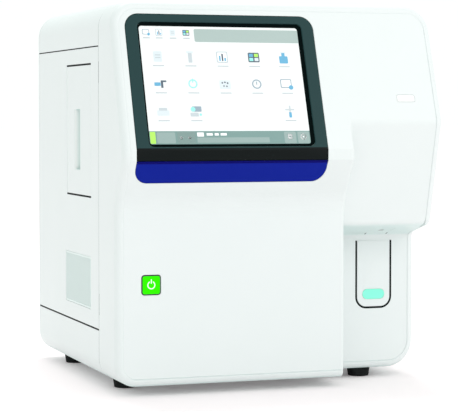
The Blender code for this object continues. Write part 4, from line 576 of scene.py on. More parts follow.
def head_path(inset):
    """Head and the recess panel under it from top to bottom, in Y and Z."""
    top = TOP + OVERRUN
    points = [
        (face_line(top), top),
        (face_line(HEAD_KINK_HEIGHT), HEAD_KINK_HEIGHT),
        HEAD_LIP,
        (RECESS_PANEL, HEAD_ROOT_HEIGHT),
        (RECESS_PANEL, UNDERSIDE - OVERRUN),
    ]
    return trace(points, (HEAD_KINK_RADIUS, HEAD_LIP_RADIUS, HEAD_COVE), inset)


def share_at(path, height):
    """Index of the path's stretch that holds a height, and how far down it the height lies."""
    index = bisect_left([-point.y for point in path], -height)
    index = min(max(index, 1), len(path) - 1)
    upper, lower = path[index - 1], path[index]
    drop = upper.y - lower.y
    share = (upper.y - height) / drop if drop > SAME_POINT else 0
    return index, min(max(share, 0), 1)


def along(path, index, share):
    return path[index - 1].lerp(path[index], share)


LEFT_PATHS = {inset: left_path(inset) for inset in (0, WALL, RIM)}
HEAD_PATHS = {inset: head_path(inset) for inset in (0, WALL, RIM)}


def path_depth(path, height):
    return along(path, *share_at(path, height)).x


def left_front(_, z, inset=0):
    """Y of the front's left part at a height, moved in by inset."""
    return path_depth(LEFT_PATHS[inset], z)


def cover_front(x, z, inset=0):
    """Y of the front cover's face at a place, moved in by inset."""
    near = path_depth(LEFT_PATHS[inset], z)
    far = path_depth(HEAD_PATHS[inset], z)
    depth = max(far - near, 0)
    corner = HEAD_LEFT - inset
    edge = min(max(STEP_EDGE - inset, STEP_DRAFT), depth / 2)
    cove = min(STEP_COVE + inset, depth / 2)
    if x <= corner - edge:
        return near
    if x >= corner + STEP_DRAFT + cove:
        return far
    if x <= corner:
        return near + edge - math.sqrt(max(edge ** 2 - (x - corner + edge) ** 2, 0))
    if x <= corner + STEP_DRAFT:
        return near + edge + (depth - edge - cove) * (x - corner) / STEP_DRAFT
    return far - cove + math.sqrt(max(cove ** 2 - (corner + STEP_DRAFT + cove - x) ** 2, 0))


def step_columns(inset):
    """X places that follow the rounding, wall and cove of the step beside the head."""
    corner = HEAD_LEFT - inset
    edge = max(STEP_EDGE - inset, STEP_DRAFT)
    cove = STEP_COVE + inset
    turns = [math.pi / 2 * index / RIM_STEPS for index in range(RIM_STEPS + 1)]
    wall = corner + STEP_DRAFT
    columns = [corner - edge * (1 - math.sin(turn)) for turn in turns]
    columns += [corner - edge - FLAT_BESIDE, corner + STEP_DRAFT / 2, wall + cove + FLAT_BESIDE]
    columns += [wall + cove * (1 - math.cos(turn)) for turn in turns]
    return columns


def distance_to(places, loop):
    """Distance of each place from a closed loop, and whether it lies inside."""
    start = np.array([tuple(point) for point in loop])
    run = np.roll(start, -1, 0) - start
    offset = places[:, None] - start[None]
    share = (offset * run).sum(2) / np.maximum((run ** 2).sum(1), NO_LENGTH)
    gap = offset - np.clip(share, 0, 1)[..., None] * run
    nearest = np.sqrt((gap ** 2).sum(2)).min(1)
    above = start[:, 1] > places[:, 1, None]
    crossed = above != np.roll(above, -1, 1)
    rise = np.where(run[:, 1] == 0, 1, run[:, 1])
    reach = start[:, 0] + run[:, 0] * (places[:, 1, None] - start[:, 1]) / rise
    inside = (crossed & (reach > places[:, 0, None])).sum(1) % 2 == 1
    return nearest, inside


def fill_between(bm, loops, spots, depth):
    """Triangles from the first loop of vertices to the holes in it, over free spots at a depth(x, z)."""
    flat = [[Vector((vert.co.x, vert.co.z)) for vert in loop] for loop in loops]
    places = np.array([tuple(spot) for spot in spots]).reshape(-1, 2)
    keep = np.ones(len(places), bool)
    for index, loop in enumerate(flat):
        gap, inside = distance_to(places, loop)
        keep &= (gap > LOOP_CLEARANCE) & (inside if index == 0 else ~inside)
    free = [Vector(place) for place in places[keep]]
    verts = [vert for loop in loops for vert in loop]
    verts += [bm.verts.new((spot.x, depth(spot.x, spot.y), spot.y)) for spot in free]
    sides = []
    for loop in flat:
        first = len(sides)
        sides += [(first + index, first + (index + 1) % len(loop)) for index in range(len(loop))]
    flat_points = [point for loop in flat for point in loop] + free
    _, _, triangles, sources, _, _ = geometry.delaunay_2d_cdt(flat_points, sides, [], 0, FLAT_TOLERANCE)
    corners = np.array([[sources[corner][0] for corner in triangle] for triangle in triangles])
    middles = np.array([tuple(point) for point in flat_points])[corners].mean(1)
    keep = np.ones(len(middles), bool)
    for index, loop in enumerate(flat):
        _, inside = distance_to(middles, loop)
        keep &= inside if index == 0 else ~inside
    for triangle in corners[keep]:
        bm.faces.new([verts[corner] for corner in triangle])


def add_ring(bm, points):
    return [bm.verts.new(point) for point in points]


def join_rings(bm, first, second):
    for index in range(len(first)):
        bm.faces.new((first[index - 1], first[index], second[index], second[index - 1]))


def shell_body(rim, holes, front_spots, front, back_spots, back):
    """Closed body between a front and a back surface.

    The rim's rings run from the back surface round the edge to the front surface,
    and each hole's rings run from the front surface to the back one.
    """
    bm = bmesh.new()
    rings = [add_ring(bm, ring) for ring in rim]
    hole_rings = [[add_ring(bm, ring) for ring in hole] for hole in holes]
    for sequence in [rings, *hole_rings]:
        for first, second in zip(sequence, sequence[1:]):
            join_rings(bm, first, second)
    fill_between(bm, [rings[-1]] + [hole[0] for hole in hole_rings], front_spots, front)
    fill_between(bm, [rings[0]] + [hole[-1] for hole in hole_rings], back_spots, back)
    bmesh.ops.recalc_face_normals(bm, faces=bm.faces)
    return bm


def quarter(steps):
    """Sine and cosine along a quarter turn, from 0 to 90 degrees."""
    turns = [math.pi / 2 * index / steps for index in range(steps + 1)]
    return [(math.sin(turn), math.cos(turn)) for turn in turns]


def edge_turns(edge):
    """Offset outward and depth along a rounded edge, from the face beside it down to the wall."""
    turns = [(edge * (1 - sine), edge * (1 - cosine)) for sine, cosine in quarter(EDGE_STEPS)]
    return [(edge + FLAT_BESIDE, 0), *turns]


def hole_along_y(outline, edge, front, back):
    """Rings of a hole with a rounded edge, cut along Y between two surfaces."""
    rings = []
    for offset, depth in edge_turns(edge):
        ring = moved_in(outline, -offset)
        rings.append([(point.x, front(point.x, point.y) + depth, point.y) for point in ring])
    rings.append([(point.x, back(point.x, point.y), point.y) for point in outline])
    return rings


def on_face(u, v, w):
    """Place on the tilted face, w out of it."""
    return FACE @ Vector((u, v, w))


def hole_in_face(outline, edge):
    rings = [[on_face(point.x, point.y, -depth) for point in moved_in(outline, -offset)]
             for offset, depth in edge_turns(edge)]
    rings.append([on_face(point.x, point.y, -WALL) for point in outline])
    return rings


def under_height(y, inset):
    """Height of the head's underside at a Y."""
    path = HEAD_PATHS[inset]
    path = path[min(range(len(path)), key=lambda index: path[index].x):]
    index = min(max(bisect_left([point.x for point in path], y), 1), len(path) - 1)
    before, after = path[index - 1], path[index]
    return before.y + (after.y - before.y) * (y - before.x) / (after.x - before.x)


def hole_along_z(outline, edge):
    """Rings of the hole through the head's underside and of its collar, the outline in X and Y."""
    rings = []
    for offset, depth in edge_turns(edge):
        ring = moved_in(outline, -offset)
        rings.append([(point.x, point.y, under_height(point.y, 0) + depth) for point in ring])
    wider = moved_in(outline, -PIPETTE_COLLAR)
    rings += [[(point.x, point.y, PIPETTE_COLLAR_TOP) for point in ring] for ring in (outline, wider)]
    rings.append([(point.x, point.y, under_height(point.y, WALL)) for point in wider])
    return rings


def rim_samples():
    """Points round the casing's outline, each with the direction out of it, in X and Z."""
    left_corner, right_corner = BOTTOM_CORNERS
    columns = steps_between(LEFT + left_corner, RIGHT - right_corner, COLUMN_PITCH)
    columns += step_columns(0) + step_columns(WALL)
    samples = [(Vector((x, UNDERSIDE)), Vector((0, -1))) for x in sorted(columns)]

    def corner(centre, radius, first):
        for index in range(1, CORNER_STEPS):
            turn = first + math.pi / 2 * index / CORNER_STEPS
            way = Vector((math.cos(turn), math.sin(turn)))
            samples.append((centre + way * radius, way))

    def side(x, way, paths, low, downward):
        high = TOP - TOP_CORNER
        heights = steps_between(low, high, ROW_PITCH)
        heights += [point.y for point in paths[RIM] if low < point.y < high]
        for z in sorted(heights, reverse=downward):
            samples.append((Vector((x, z)), way))

    corner(Vector((RIGHT - right_corner, UNDERSIDE + right_corner)), right_corner, -math.pi / 2)
    side(RIGHT, Vector((1, 0)), HEAD_PATHS, UNDERSIDE + right_corner, False)
    corner(Vector((RIGHT - TOP_CORNER, TOP - TOP_CORNER)), TOP_CORNER, 0)
    for x in reversed(steps_between(LEFT + TOP_CORNER, RIGHT - TOP_CORNER, COLUMN_PITCH)):
        samples.append((Vector((x, TOP)), Vector((0, 1))))
    corner(Vector((LEFT + TOP_CORNER, TOP - TOP_CORNER)), TOP_CORNER, math.pi / 2)
    side(LEFT, Vector((-1, 0)), LEFT_PATHS, UNDERSIDE + left_corner, True)
    corner(Vector((LEFT + left_corner, UNDERSIDE + left_corner)), left_corner, math.pi)
    pairs = zip([samples[-1], *samples], samples)
    return [sample for before, sample in pairs if (sample[0] - before[0]).length > SAME_POINT]


def rim_ball(place, way):
    """Centre of the rim's rounding at a sample, and where the rounding meets the front."""
    centre = place - way * RIM
    if abs(way.x) < SAME_POINT and way.y < 0:
        front = cover_front(centre.x, centre.y)
        return Vector((centre.x, front + RIM, centre.y)), Vector((centre.x, front, centre.y))
    paths = LEFT_PATHS if centre.x < HEAD_LEFT else HEAD_PATHS
    index, share = share_at(paths[RIM], centre.y)
    depth = along(paths[RIM], index, share).x
    touch = along(paths[0], index, share)
    return Vector((centre.x, depth, centre.y)), Vector((centre.x, touch.x, touch.y))


def cover_rim():
    """Rings of the cover's edge, from its inner surface round the rear and the rim to its face."""
    samples = rim_samples()
    inner = [(place - way * WALL) for place, way in samples]
    rings = [[(point.x, cover_front(point.x, point.y, WALL), point.y) for point in inner],
             [(point.x, COVER_REAR, point.y) for point in inner]]
    for sine, cosine in quarter(EDGE_STEPS):
        ring = []
        for place, way in samples:
            edge = COVER_EDGE + (COVER_HINGE_EDGE - COVER_EDGE) * max(0, -way.x) ** HINGE_EDGE_POWER
            point = place - way * edge * (1 - sine)
            ring.append((point.x, COVER_REAR - edge * (1 - cosine), point.y))
        rings.append(ring)
    balls = [(*rim_ball(place, way), Vector((way.x, 0, way.y))) for place, way in samples]
    for step in range(RIM_STEPS + 1):
        share = step / RIM_STEPS
        ring = []
        for centre, touch, out in balls:
            spoke = touch - centre
            way = out.slerp(spoke.normalized(), share)
            ring.append(centre + way * (RIM + (spoke.length - RIM) * share))
        rings.append(ring)
    groove = ((GROOVE_WIDTH / 2, GROOVE_DEPTH), (GROOVE_WIDTH, 0), (GROOVE_WIDTH + FLAT_BESIDE, 0))
    for offset, depth in groove:
        ring = []
        for place, way in samples:
            spot = place - way * (RIM + offset)
            cut = depth * (1 - GROOVE_FADE * max(0, -way.x))
            ring.append((spot.x, cover_front(spot.x, spot.y) + cut, spot.y))
        rings.append(ring)
    return rings


def cover_spots(inset):
    """Free places of the cover's outer or inner surface, rows by columns, closer under the head."""
    heights = steps_between(UNDERSIDE, TOP, ROW_PITCH)
    heights += [height for paths in (LEFT_PATHS, HEAD_PATHS) for height in row_heights(paths[inset])]
    columns = steps_between(LEFT, RIGHT, COLUMN_PITCH) + step_columns(inset)
    heights = apart(heights)
    spots = [(x, z) for z in heights for x in apart(columns)]
    fine_columns = steps_between(HEAD_LEFT + STEP_COVE, RIGHT - RIM, FINE_PITCH)
    fine_rows = [z for z in heights if PADDLE_TOP < z < HEAD_LIP[1] + HEAD_LIP_RADIUS]
    return spots + [(x, z) for z in fine_rows for x in fine_columns]


def row_heights(path):
    """Heights of a path's points, and of places just inside its straight stretches."""
    heights = [point.y for point in path]
    for before, after in zip(path, path[1:]):
        length = (after - before).length
        if length > STRAIGHT:
            share = FLAT_BESIDE / length
            heights += [before.lerp(after, share).y, before.lerp(after, 1 - share).y]
    return heights


def apart(values):
    """Sorted values without the ones that nearly repeat another."""
    kept = []
    for value in sorted(values):
        if not kept or value - kept[-1] > LEAST_STEP:
            kept.append(value)
    return kept


class Wire:
    """Socket of a finish's nodes that takes part in sums."""

    def __init__(self, finish, socket):
        self.finish = finish
        self.socket = socket

    def math(self, operation, first, second):
        return self.finish.node("ShaderNodeMath", {"operation": operation}, {0: first, 1: second})

    def __add__(self, other):
        return self.math("ADD", self, other)

    def __radd__(self, other):
        return self.math("ADD", other, self)

    def __mul__(self, other):
        return self.math("MULTIPLY", self, other)

    def __rmul__(self, other):
        return self.math("MULTIPLY", other, self)


class Finish:
    """One procedural material, which keeps the record's slot that it belongs to."""

    def __init__(self, name, slot):
        self.slot = slot
        self.material = bpy.data.materials.new(name)
        self.material.use_nodes = True
        self.tree = self.material.node_tree
        self.shader = self.tree.nodes["Principled BSDF"]
        self.place = self.node("ShaderNodeTexCoord", {}, {}, "Object")

    def node(self, kind, settings, inputs, output=0):
        """Output of a new node, its settings made first and its inputs set or linked after."""
        made = self.tree.nodes.new(kind)
        for key, value in settings.items():
            setattr(made, key, value)
        for key, value in inputs.items():
            self.feed(made.inputs[key], value)
        return Wire(self, made.outputs[output])

    def feed(self, socket, value):
        if isinstance(value, Wire):
            self.tree.links.new(value.socket, socket)
        elif isinstance(value, tuple) and socket.type == "RGBA":
            socket.default_value = (*value, 1)
        else:
            socket.default_value = value

    def set(self, inputs):
        for name, value in inputs.items():
            self.feed(self.shader.inputs[name], value)

    def noise(self, size, detail):
        """Cloudy noise from 0 to 1 whose blotches are about a size across."""
        inputs = {"Vector": self.place, "Scale": 1 / size, "Detail": detail}
        return self.node("ShaderNodeTexNoise", {}, inputs)

    def drift(self):
        return self.noise(DRIFT_SIZE, DRIFT_DETAIL)

    def mix(self, share, first, second):
        return self.node("ShaderNodeMix", {"data_type": "RGBA"}, {0: share, 6: first, 7: second}, 2)

    def part(self, vector, axis):
        """One coordinate of a vector, by its number."""
        return self.node("ShaderNodeSeparateXYZ", {}, {0: vector}, axis)

    def share(self, value, span):
        """Share from 0 to 1 of a value along a span."""
        inputs = {"Value": value, "From Min": span[0], "From Max": span[1]}
        return self.node("ShaderNodeMapRange", {}, inputs)


def moulded(name, slot, colour, shade, roughness, grain=GRAIN_SIZE, relief=GRAIN_RELIEF, metallic=0,
            specular=0.5):
    """Finish with a soft colour drift, an eroded grain and a gloss that varies a little."""
    finish = Finish(name, slot)
    drift = finish.drift()
    speck = finish.noise(grain, GRAIN_DETAIL)
    bump = {"Strength": GRAIN_STRENGTH, "Distance": relief, "Height": speck}
    finish.set({
        "Base Color": finish.mix(drift * COLOUR_DRIFT_SHARE + speck * COLOUR_GRAIN_SHARE, colour, shade),
        "Roughness": roughness - GLOSS_SHIFT + drift * GLOSS_SPAN + speck * GLOSS_SPAN,
        "Metallic": metallic,
        "Specular IOR Level": specular,
        "Normal": finish.node("ShaderNodeBump", {}, bump),
    })
    return finish


def banded(name, slot, colours, height, roughness, specular):
    """Moulded plastic with one colour below a height and another above it, for bands of painted light and
    shade.
    """
    finish = moulded(name, slot, colours[0], colours[0], roughness, specular=specular)
    rise = finish.part(finish.place, 2)
    above = rise.math("GREATER_THAN", rise, height)
    share = above * (1 - BAND_DRIFT_SHARE + finish.drift() * BAND_DRIFT_SHARE)
    finish.set({"Base Color": finish.mix(share, *colours)})
    return finish


def painted_shade_below(finish, colours, shade, span):
    """The finish with painted shade, a darker and cooler tone, on the faces that look down."""
    normal = finish.node("ShaderNodeNewGeometry", {}, {}, "Normal")
    share = finish.share(finish.part(normal, 2), span)
    finish.set({"Base Color": finish.mix(share, finish.mix(finish.drift(), *colours), shade)})
    return finish


def graded(name, slot, colours, span, roughness):
    """Moulded plastic whose colour runs from one to the other along Y."""
    finish = moulded(name, slot, colours[0], colours[0], roughness)
    finish.set({"Base Color": finish.mix(finish.share(finish.part(finish.place, 1), span), *colours)})
    return finish


HANDLE_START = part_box("side_door")[0].y + HANDLE_FRONT
CASING_COLOURS = ((0.722, 0.782, 0.775), (0.706, 0.768, 0.76))
# The casing's white has painted shade on the faces that look down, such as the head's underside
WHITE = painted_shade_below(moulded("white_casing", "white_casing", *CASING_COLOURS, 0.42), CASING_COLOURS,
                     (0.655, 0.785, 0.765), DOWNWARD_SHADE_SPAN)
# Painted shade in the door handle's recess, darker towards its deep front wall
RECESS = graded("door_recess_shade", "white_casing", ((0.44, 0.59, 0.56), (0.80, 0.83, 0.82)),
                (HANDLE_START + HANDLE_WIDTH * RECESS_SHADE_START_SHARE, HANDLE_START + HANDLE_WIDTH), 0.5)
# Bezel in lit and shaded copies of one plastic: painted light on the tilted face, painted shade on the
# upright band
DARK = banded("bezel", "bezel", ((0.0003, 0.003, 0.003), (0.015, 0.048, 0.049)),
              KINK_HEIGHT + BAND_SHADE_RISE, 0.42, 0.12)
# Blue trim with a painted shadow along its top, under the bezel
BLUE = banded("blue_trim", "blue_trim", ((0.003, 0.013, 0.26), (0.0, 0.0, 0.115)),
              KINK_HEIGHT - BAND_HEIGHT - TRIM_SHADE_DROP, 0.38, 0.06)
GREEN = moulded("button_green", "button_green", (0.035, 0.90, 0.0), (0.03, 0.86, 0.0), 0.35, specular=0.03)
TEAL = moulded("mark_teal", "mark_teal", (0.235, 0.96, 0.70), (0.215, 0.92, 0.66), 0.4)
VENT = moulded("vent_grey", "vent_grey", (0.74, 0.84, 0.82), (0.72, 0.82, 0.80), 0.5)
LCD = moulded("screen_panel", "screen", (0.79, 0.85, 0.84), (0.77, 0.83, 0.82), 0.15)
STATUS = moulded("status_window", "status_window", (0.82, 0.87, 0.85), (0.80, 0.85, 0.83), 0.25)
RUBBER = moulded("rubber_black", "rubber_black", (0.007, 0.009, 0.009), (0.012, 0.014, 0.014), 0.75,
                 specular=0.12)
BLACK = moulded("black_plastic", "black_plastic", (0.02, 0.02, 0.021), (0.028, 0.028, 0.03), 0.5)
SHEET = moulded("sheet_steel", "sheet_steel", (0.62, 0.63, 0.64), (0.5, 0.51, 0.52), 0.35, metallic=1.0)
PIN = moulded("pin_steel", "pin_steel", (0.66, 0.66, 0.67), (0.6, 0.6, 0.6), 0.25, metallic=1.0)
MODULE = moulded("module_shell", "module_shell", (0.5, 0.51, 0.52), (0.45, 0.46, 0.46), 0.4, metallic=1.0)
CLEAR = moulded("clear_grey_plastic", "clear_grey_plastic", (0.55, 0.62, 0.62), (0.5, 0.58, 0.58), 0.3)
DYE = moulded("dye_blue", "dye_blue", (0.02, 0.08, 0.35), (0.02, 0.07, 0.3), 0.35)
BOARD = moulded("board_green", "board_green", (0.01, 0.14, 0.05), (0.01, 0.12, 0.04), 0.4)

SLOT_FINISH = {finish.slot: finish for finish in (
    WHITE, DARK, BLUE, GREEN, TEAL, VENT, LCD, STATUS, RUBBER, BLACK, SHEET, PIN, MODULE, CLEAR, DYE,
    BOARD)}
# Near-black mask: the screen's border, and painted shade of the window's inner walls
MASK = moulded("screen_mask", "bezel", (0.002, 0.005, 0.005), (0.003, 0.006, 0.006), 0.3, specular=0.0)
# Near-black for the paddle's seal, which paints the shade in its slit, and for the dark bars under the
# head
SEAL = moulded("dark_seal_and_shade", "rubber_black", (0.004, 0.008, 0.008), (0.006, 0.01, 0.01), 0.7,
               specular=0.1)
SYMBOL = moulded("button_symbol", "button_green", (0.9, 0.98, 0.9), (0.85, 0.95, 0.85), 0.4)
FILTER = moulded("vent_filter", "vent_grey", (0.62, 0.72, 0.69), (0.58, 0.68, 0.65), 0.8)
# Grey of the cover's seal, set to paint the shade line of the gap
JOINT = moulded("joint_shade_grey", "rubber_black", (0.30, 0.34, 0.33), (0.28, 0.32, 0.31), 0.7)
HINGE = moulded("hinge_paint", "sheet_steel", (0.78, 0.83, 0.825), (0.76, 0.815, 0.81), 0.5)
FLOOR = moulded("floor", None, (0.985, 0.93, 0.94), (0.965, 0.91, 0.92), 0.7,
                FLOOR_GRAIN_SIZE, FLOOR_GRAIN_RELIEF)
FLOOR.set({"Emission Color": FLOOR_GLOW, "Emission Strength": FLOOR_GLOW_STRENGTH})
INKS = {name: moulded("ink_" + name, "screen", colour, shade, 0.3) for name, colour, shade in (
    ("screen_white", (0.92, 0.96, 0.96), (0.90, 0.94, 0.94)),
    ("faint", (0.52, 0.60, 0.63), (0.50, 0.58, 0.61)),
    ("pale", (0.66, 0.76, 0.79), (0.64, 0.74, 0.77)),
    ("label", (0.47, 0.54, 0.57), (0.45, 0.52, 0.55)),
    ("steel", (0.28, 0.38, 0.45), (0.26, 0.36, 0.43)),
    ("dark", (0.06, 0.10, 0.14), (0.05, 0.09, 0.13)),
    ("blue", (0.10, 0.40, 0.62), (0.09, 0.38, 0.60)),
    ("teal", (0.30, 0.80, 0.75), (0.28, 0.78, 0.73)),
    ("lime", (0.42, 0.85, 0.10), (0.40, 0.82, 0.09)),
    ("bar_green", (0.155, 0.29, 0.27), (0.145, 0.28, 0.26)),
    ("bar_pale", (0.26, 0.38, 0.36), (0.25, 0.37, 0.35)),
    ("bar_dark", (0.17, 0.28, 0.26), (0.16, 0.27, 0.25)),
    ("bar_mist", (0.37, 0.48, 0.455), (0.36, 0.47, 0.445)),
)}


def mesh_of(bm):
    mesh = bpy.data.meshes.new("shape")
    bm.to_mesh(mesh)
    bm.free()
    return mesh


def carved(base, cutters, operation="DIFFERENCE"):
    """The base less the cutters, or joined with them."""
    collection = bpy.context.scene.collection
    items = [bpy.data.objects.new("shape", mesh_of(bm)) for bm in [base, *cutters]]
    for item in items:
        collection.objects.link(item)
    for item in items[1:]:
        step = items[0].modifiers.new("step", "BOOLEAN")
        step.operation = operation
        step.solver = "EXACT"
        step.object = item
    graph = bpy.context.evaluated_depsgraph_get()
    result = bpy.data.meshes.new_from_object(items[0].evaluated_get(graph))
    for item in items:
        bpy.data.objects.remove(item, do_unlink=True)
    bm = bmesh.new()
    bm.from_mesh(result)
    return bm


def show(name, bm, finish, body, nodes=()):
    """Make a named piece that rides on a body and may stand for CAD nodes."""
    mesh = mesh_of(bm)
    mesh.name = name
    mesh.shade_smooth()
    mesh.set_sharp_from_angle(angle=SMOOTH_ANGLE)
    piece = bpy.data.objects.new(name, mesh)
    bpy.context.scene.collection.objects.link(piece)
    mesh.materials.append(finish.material)
    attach(piece, body)
    if nodes:
        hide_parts(*nodes)
    piece.modifiers.new("weighted_normals", "WEIGHTED_NORMAL").keep_sharp = True
    return piece


PLACES = {
    "X": lambda u, v, w: (w, u, v),
    "Y": lambda u, v, w: (u, w, v),
    "Z": lambda u, v, w: (u, v, w),
}


def lofted(rings, matrix=None):
    """Body over rings of places, closed at both ends."""
    bm = bmesh.new()
    loops = [add_ring(bm, ring) for ring in rings]
    for first, second in zip(loops, loops[1:]):
        join_rings(bm, first, second)
    bm.faces.new(loops[0])
    bm.faces.new(loops[-1])
    if matrix:
        bm.transform(matrix)
    bmesh.ops.recalc_face_normals(bm, faces=bm.faces)
    return bm


def slab(outline, axis, span, edges=(0, 0), matrix=None):
    """Body between an outline and its copy along an axis, with rounded edges at either end."""
    place = PLACES[axis]
    low, high = span
    rings = []
    for sine, cosine in quarter(EDGE_STEPS) if edges[0] else [(1, 0)]:
        rings.append((moved_in(outline, edges[0] * (1 - sine)), low + edges[0] * (1 - cosine)))
    for sine, cosine in reversed(quarter(EDGE_STEPS)) if edges[1] else [(1, 0)]:
        rings.append((moved_in(outline, edges[1] * (1 - sine)), high - edges[1] * (1 - cosine)))
    return lofted([[place(point.x, point.y, w) for point in ring] for ring, w in rings], matrix)


def block(x, y, z, edge=BLOCK_EDGE):
    """Box with rounded upper and lower edges."""
    return slab(rounded(x, y), "Z", z, (edge, edge))


def rod(centre, radius, axis, span, edge=0, sides=ROUND_SIDES):
    return slab(circle(centre, radius, sides), axis, span, (edge, edge))


def turned(profile, axis, centre, sides=TURNED_SIDES):
    """Body of revolution from a profile of radius and place along the axis."""
    place = PLACES[axis]
    return lofted([[place(point.x, point.y, w) for point in circle(centre, radius, sides)]
                   for radius, w in profile])


def together(shapes):
    """One mesh that holds several bodies side by side."""
    bm = bmesh.new()
    for shape in shapes:
        bm.from_mesh(mesh_of(shape))
    return bm


def facing(side, offset):
    """Matrix from a panel's own front view to its side of the casing, offset out along that side."""
    turns = {"left": -math.pi / 2, "right": math.pi / 2, "rear": math.pi}
    return Matrix.Rotation(turns[side], 4, "Z") @ Matrix.Translation((0, -offset, 0))


def panel(outline, holes, thickness, edge, hole_edge):
    """Flat plate in its own front view, its face at Y 0, with rounded edges and holes."""
    rim = [[(point.x, thickness, point.y) for point in outline]]
    for offset, depth in reversed(edge_turns(edge)):
        rim.append([(point.x, depth, point.y) for point in moved_in(outline, offset)])
    rings = [hole_along_y(hole, hole_edge, lambda x, z: 0, lambda x, z: thickness) for hole in holes]
    return shell_body(rim, rings, [], None, [], None)


def box_spans(node):
    low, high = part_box(node)
    return (low.x, high.x), (low.y, high.y), (low.z, high.z)


def mirrored(span):
    """The span as seen from the other side."""
    return (-span[1], -span[0])


def casing_outline(inset, from_rear=False):
    """Casing's outline seen from the front or the rear, moved in by inset."""
    bottom = reversed(BOTTOM_CORNERS) if from_rear else BOTTOM_CORNERS
    radii = [radius - inset for radius in (*bottom, TOP_CORNER, TOP_CORNER)]
    return rounded(grown((LEFT, RIGHT), -inset), grown((UNDERSIDE, TOP), -inset), radii)


def plate_on_front(outline, holes, edge):
    """Plate that follows the left front's side view, with a rounded outer edge and given holes."""
    levels = apart([point.y for point in LEFT_PATHS[0]])
    outline = crossing(outline, levels)

    def back(x, z):
        return left_front(x, z, WALL)

    rim = [[(point.x, back(point.x, point.y), point.y) for point in outline]]
    for offset, depth in reversed(edge_turns(edge)):
        ring = moved_in(outline, offset)
        rim.append([(point.x, left_front(point.x, point.y) + depth, point.y) for point in ring])
    across = [point.x for point in outline]
    spots = [(x, z) for z in levels for x in steps_between(min(across), max(across), COLUMN_PITCH)]
    return shell_body(rim, holes, spots, left_front, spots, back)


def display_outline(low, high, bottom_radius, top_radius):
    across, _, _ = box_spans("display_bezel")
    return rounded(across, (low, high), (bottom_radius, bottom_radius, top_radius, top_radius))


def window_outline(inset):
    """Window of the screen on the tilted face."""
    across, _, _ = box_spans("display_screen")
    radius = WINDOW_RADIUS - inset
    return rounded(grown(across, FIT - inset), grown(WINDOW_RISE, -inset), [radius] * 4)


def display_opening():
    across, _, bezel_z = box_spans("display_bezel")
    _, _, trim_z = box_spans("trim_strip")
    radii = (TRIM_RADIUS, TRIM_RADIUS, BEZEL_RADIUS, BEZEL_RADIUS)
    outline = rounded(grown(across, FIT), grown((trim_z[0], bezel_z[1]), FIT), radii)
    return crossing(outline, apart([point.y for point in LEFT_PATHS[0]]))


def button_outline(inset):
    """Opening of the power button, moved in by inset."""
    across, _, up = box_spans("power_button")
    gap = BUTTON_GAP - inset
    return rounded(grown(across, gap), grown(up, gap), [BUTTON_RADIUS - inset] * 4)


def paddle_outline(gap, top_gap):
    """Paddle's plate, or the opening round it."""
    across, _, up = box_spans("start_paddle")
    corner = PADDLE_RADIUS + gap
    return rounded(grown(across, gap), (up[0] - gap, up[1] + top_gap), (corner, corner, 0, 0))


def status_outline(inset):
    across, _, _ = box_spans("status_window")
    radius = STATUS_RADIUS - inset
    return rounded(grown(across, FIT - inset), grown(STATUS_RISE, -inset), [radius] * 4)


def pipette_outline():
    across, along_y, _ = box_spans("sample_needle")
    return rounded(centred(sum(across) / 2, PIPETTE_OPENING), centred(sum(along_y) / 2, PIPETTE_OPENING),
                   [PIPETTE_RADIUS] * 4)


def hinge_cuts(node, pin, axis_y):
    """Notch and pin bore that a hinge needs in the moving wall."""
    _, _, notch_z = box_spans(node)
    _, _, pin_z = box_spans(pin)
    notch = block(grown((LEFT, LEFT + WALL), OVERRUN), (axis_y - PIN_INSET - SWING_GAP, axis_y + OVERRUN),
                  grown(notch_z, HINGE_END_GAP), NOTCH_EDGE)
    bore = rod((LEFT + PIN_INSET, axis_y), PIN_RADIUS + FIT, "Z", grown(pin_z, HINGE_END_GAP))
    return [notch, bore]


def cover_lugs():
    """Lugs inside the cover that hold the paddle's rod."""
    rod_x, rod_y, rod_z = box_spans("paddle_pivot_rod")
    y = (RECESS_PANEL + WALL / 2, RECESS_PANEL + WALL + LUG_DEPTH)
    z = centred(sum(rod_z) / 2, LUG_HEIGHT)
    lugs = [block(x, y, z) for x in ((rod_x[0], rod_x[0] + LUG_WIDTH), (rod_x[1] - LUG_WIDTH, rod_x[1]))]
    bore = rod((sum(rod_y) / 2, sum(rod_z) / 2), LUG_BORE, "X", grown(rod_x, OVERRUN))
    show("cover_lugs", carved(together(lugs), [bore]), WHITE, "front_cover")


def cover_shell():
    """Front cover with its openings and the notches of its hinges."""
    def back(x, z):
        return cover_front(x, z, WALL)

    holes = [
        hole_along_y(display_opening(), COVER_EDGE, cover_front, back),
        hole_along_y(button_outline(0), COVER_EDGE, cover_front, back),
        hole_along_y(paddle_outline(PADDLE_SLIT, PADDLE_TOP_GAP), PADDLE_EDGE, cover_front, back),
        hole_in_face(status_outline(0), STATUS_EDGE),
        hole_along_z(pipette_outline(), COVER_EDGE),
    ]
    bm = shell_body(cover_rim(), holes, cover_spots(0), cover_front, cover_spots(WALL), back)
    axis_y = COVER_REAR - PIN_INSET
    cuts = hinge_cuts("cover_hinge_lower", "cover_hinge_pin_lower", axis_y)
    cuts += hinge_cuts("cover_hinge_upper", "cover_hinge_pin_upper", axis_y)
    show("cover_shell", carved(bm, cuts), WHITE, "front_cover", ["front_cover"])


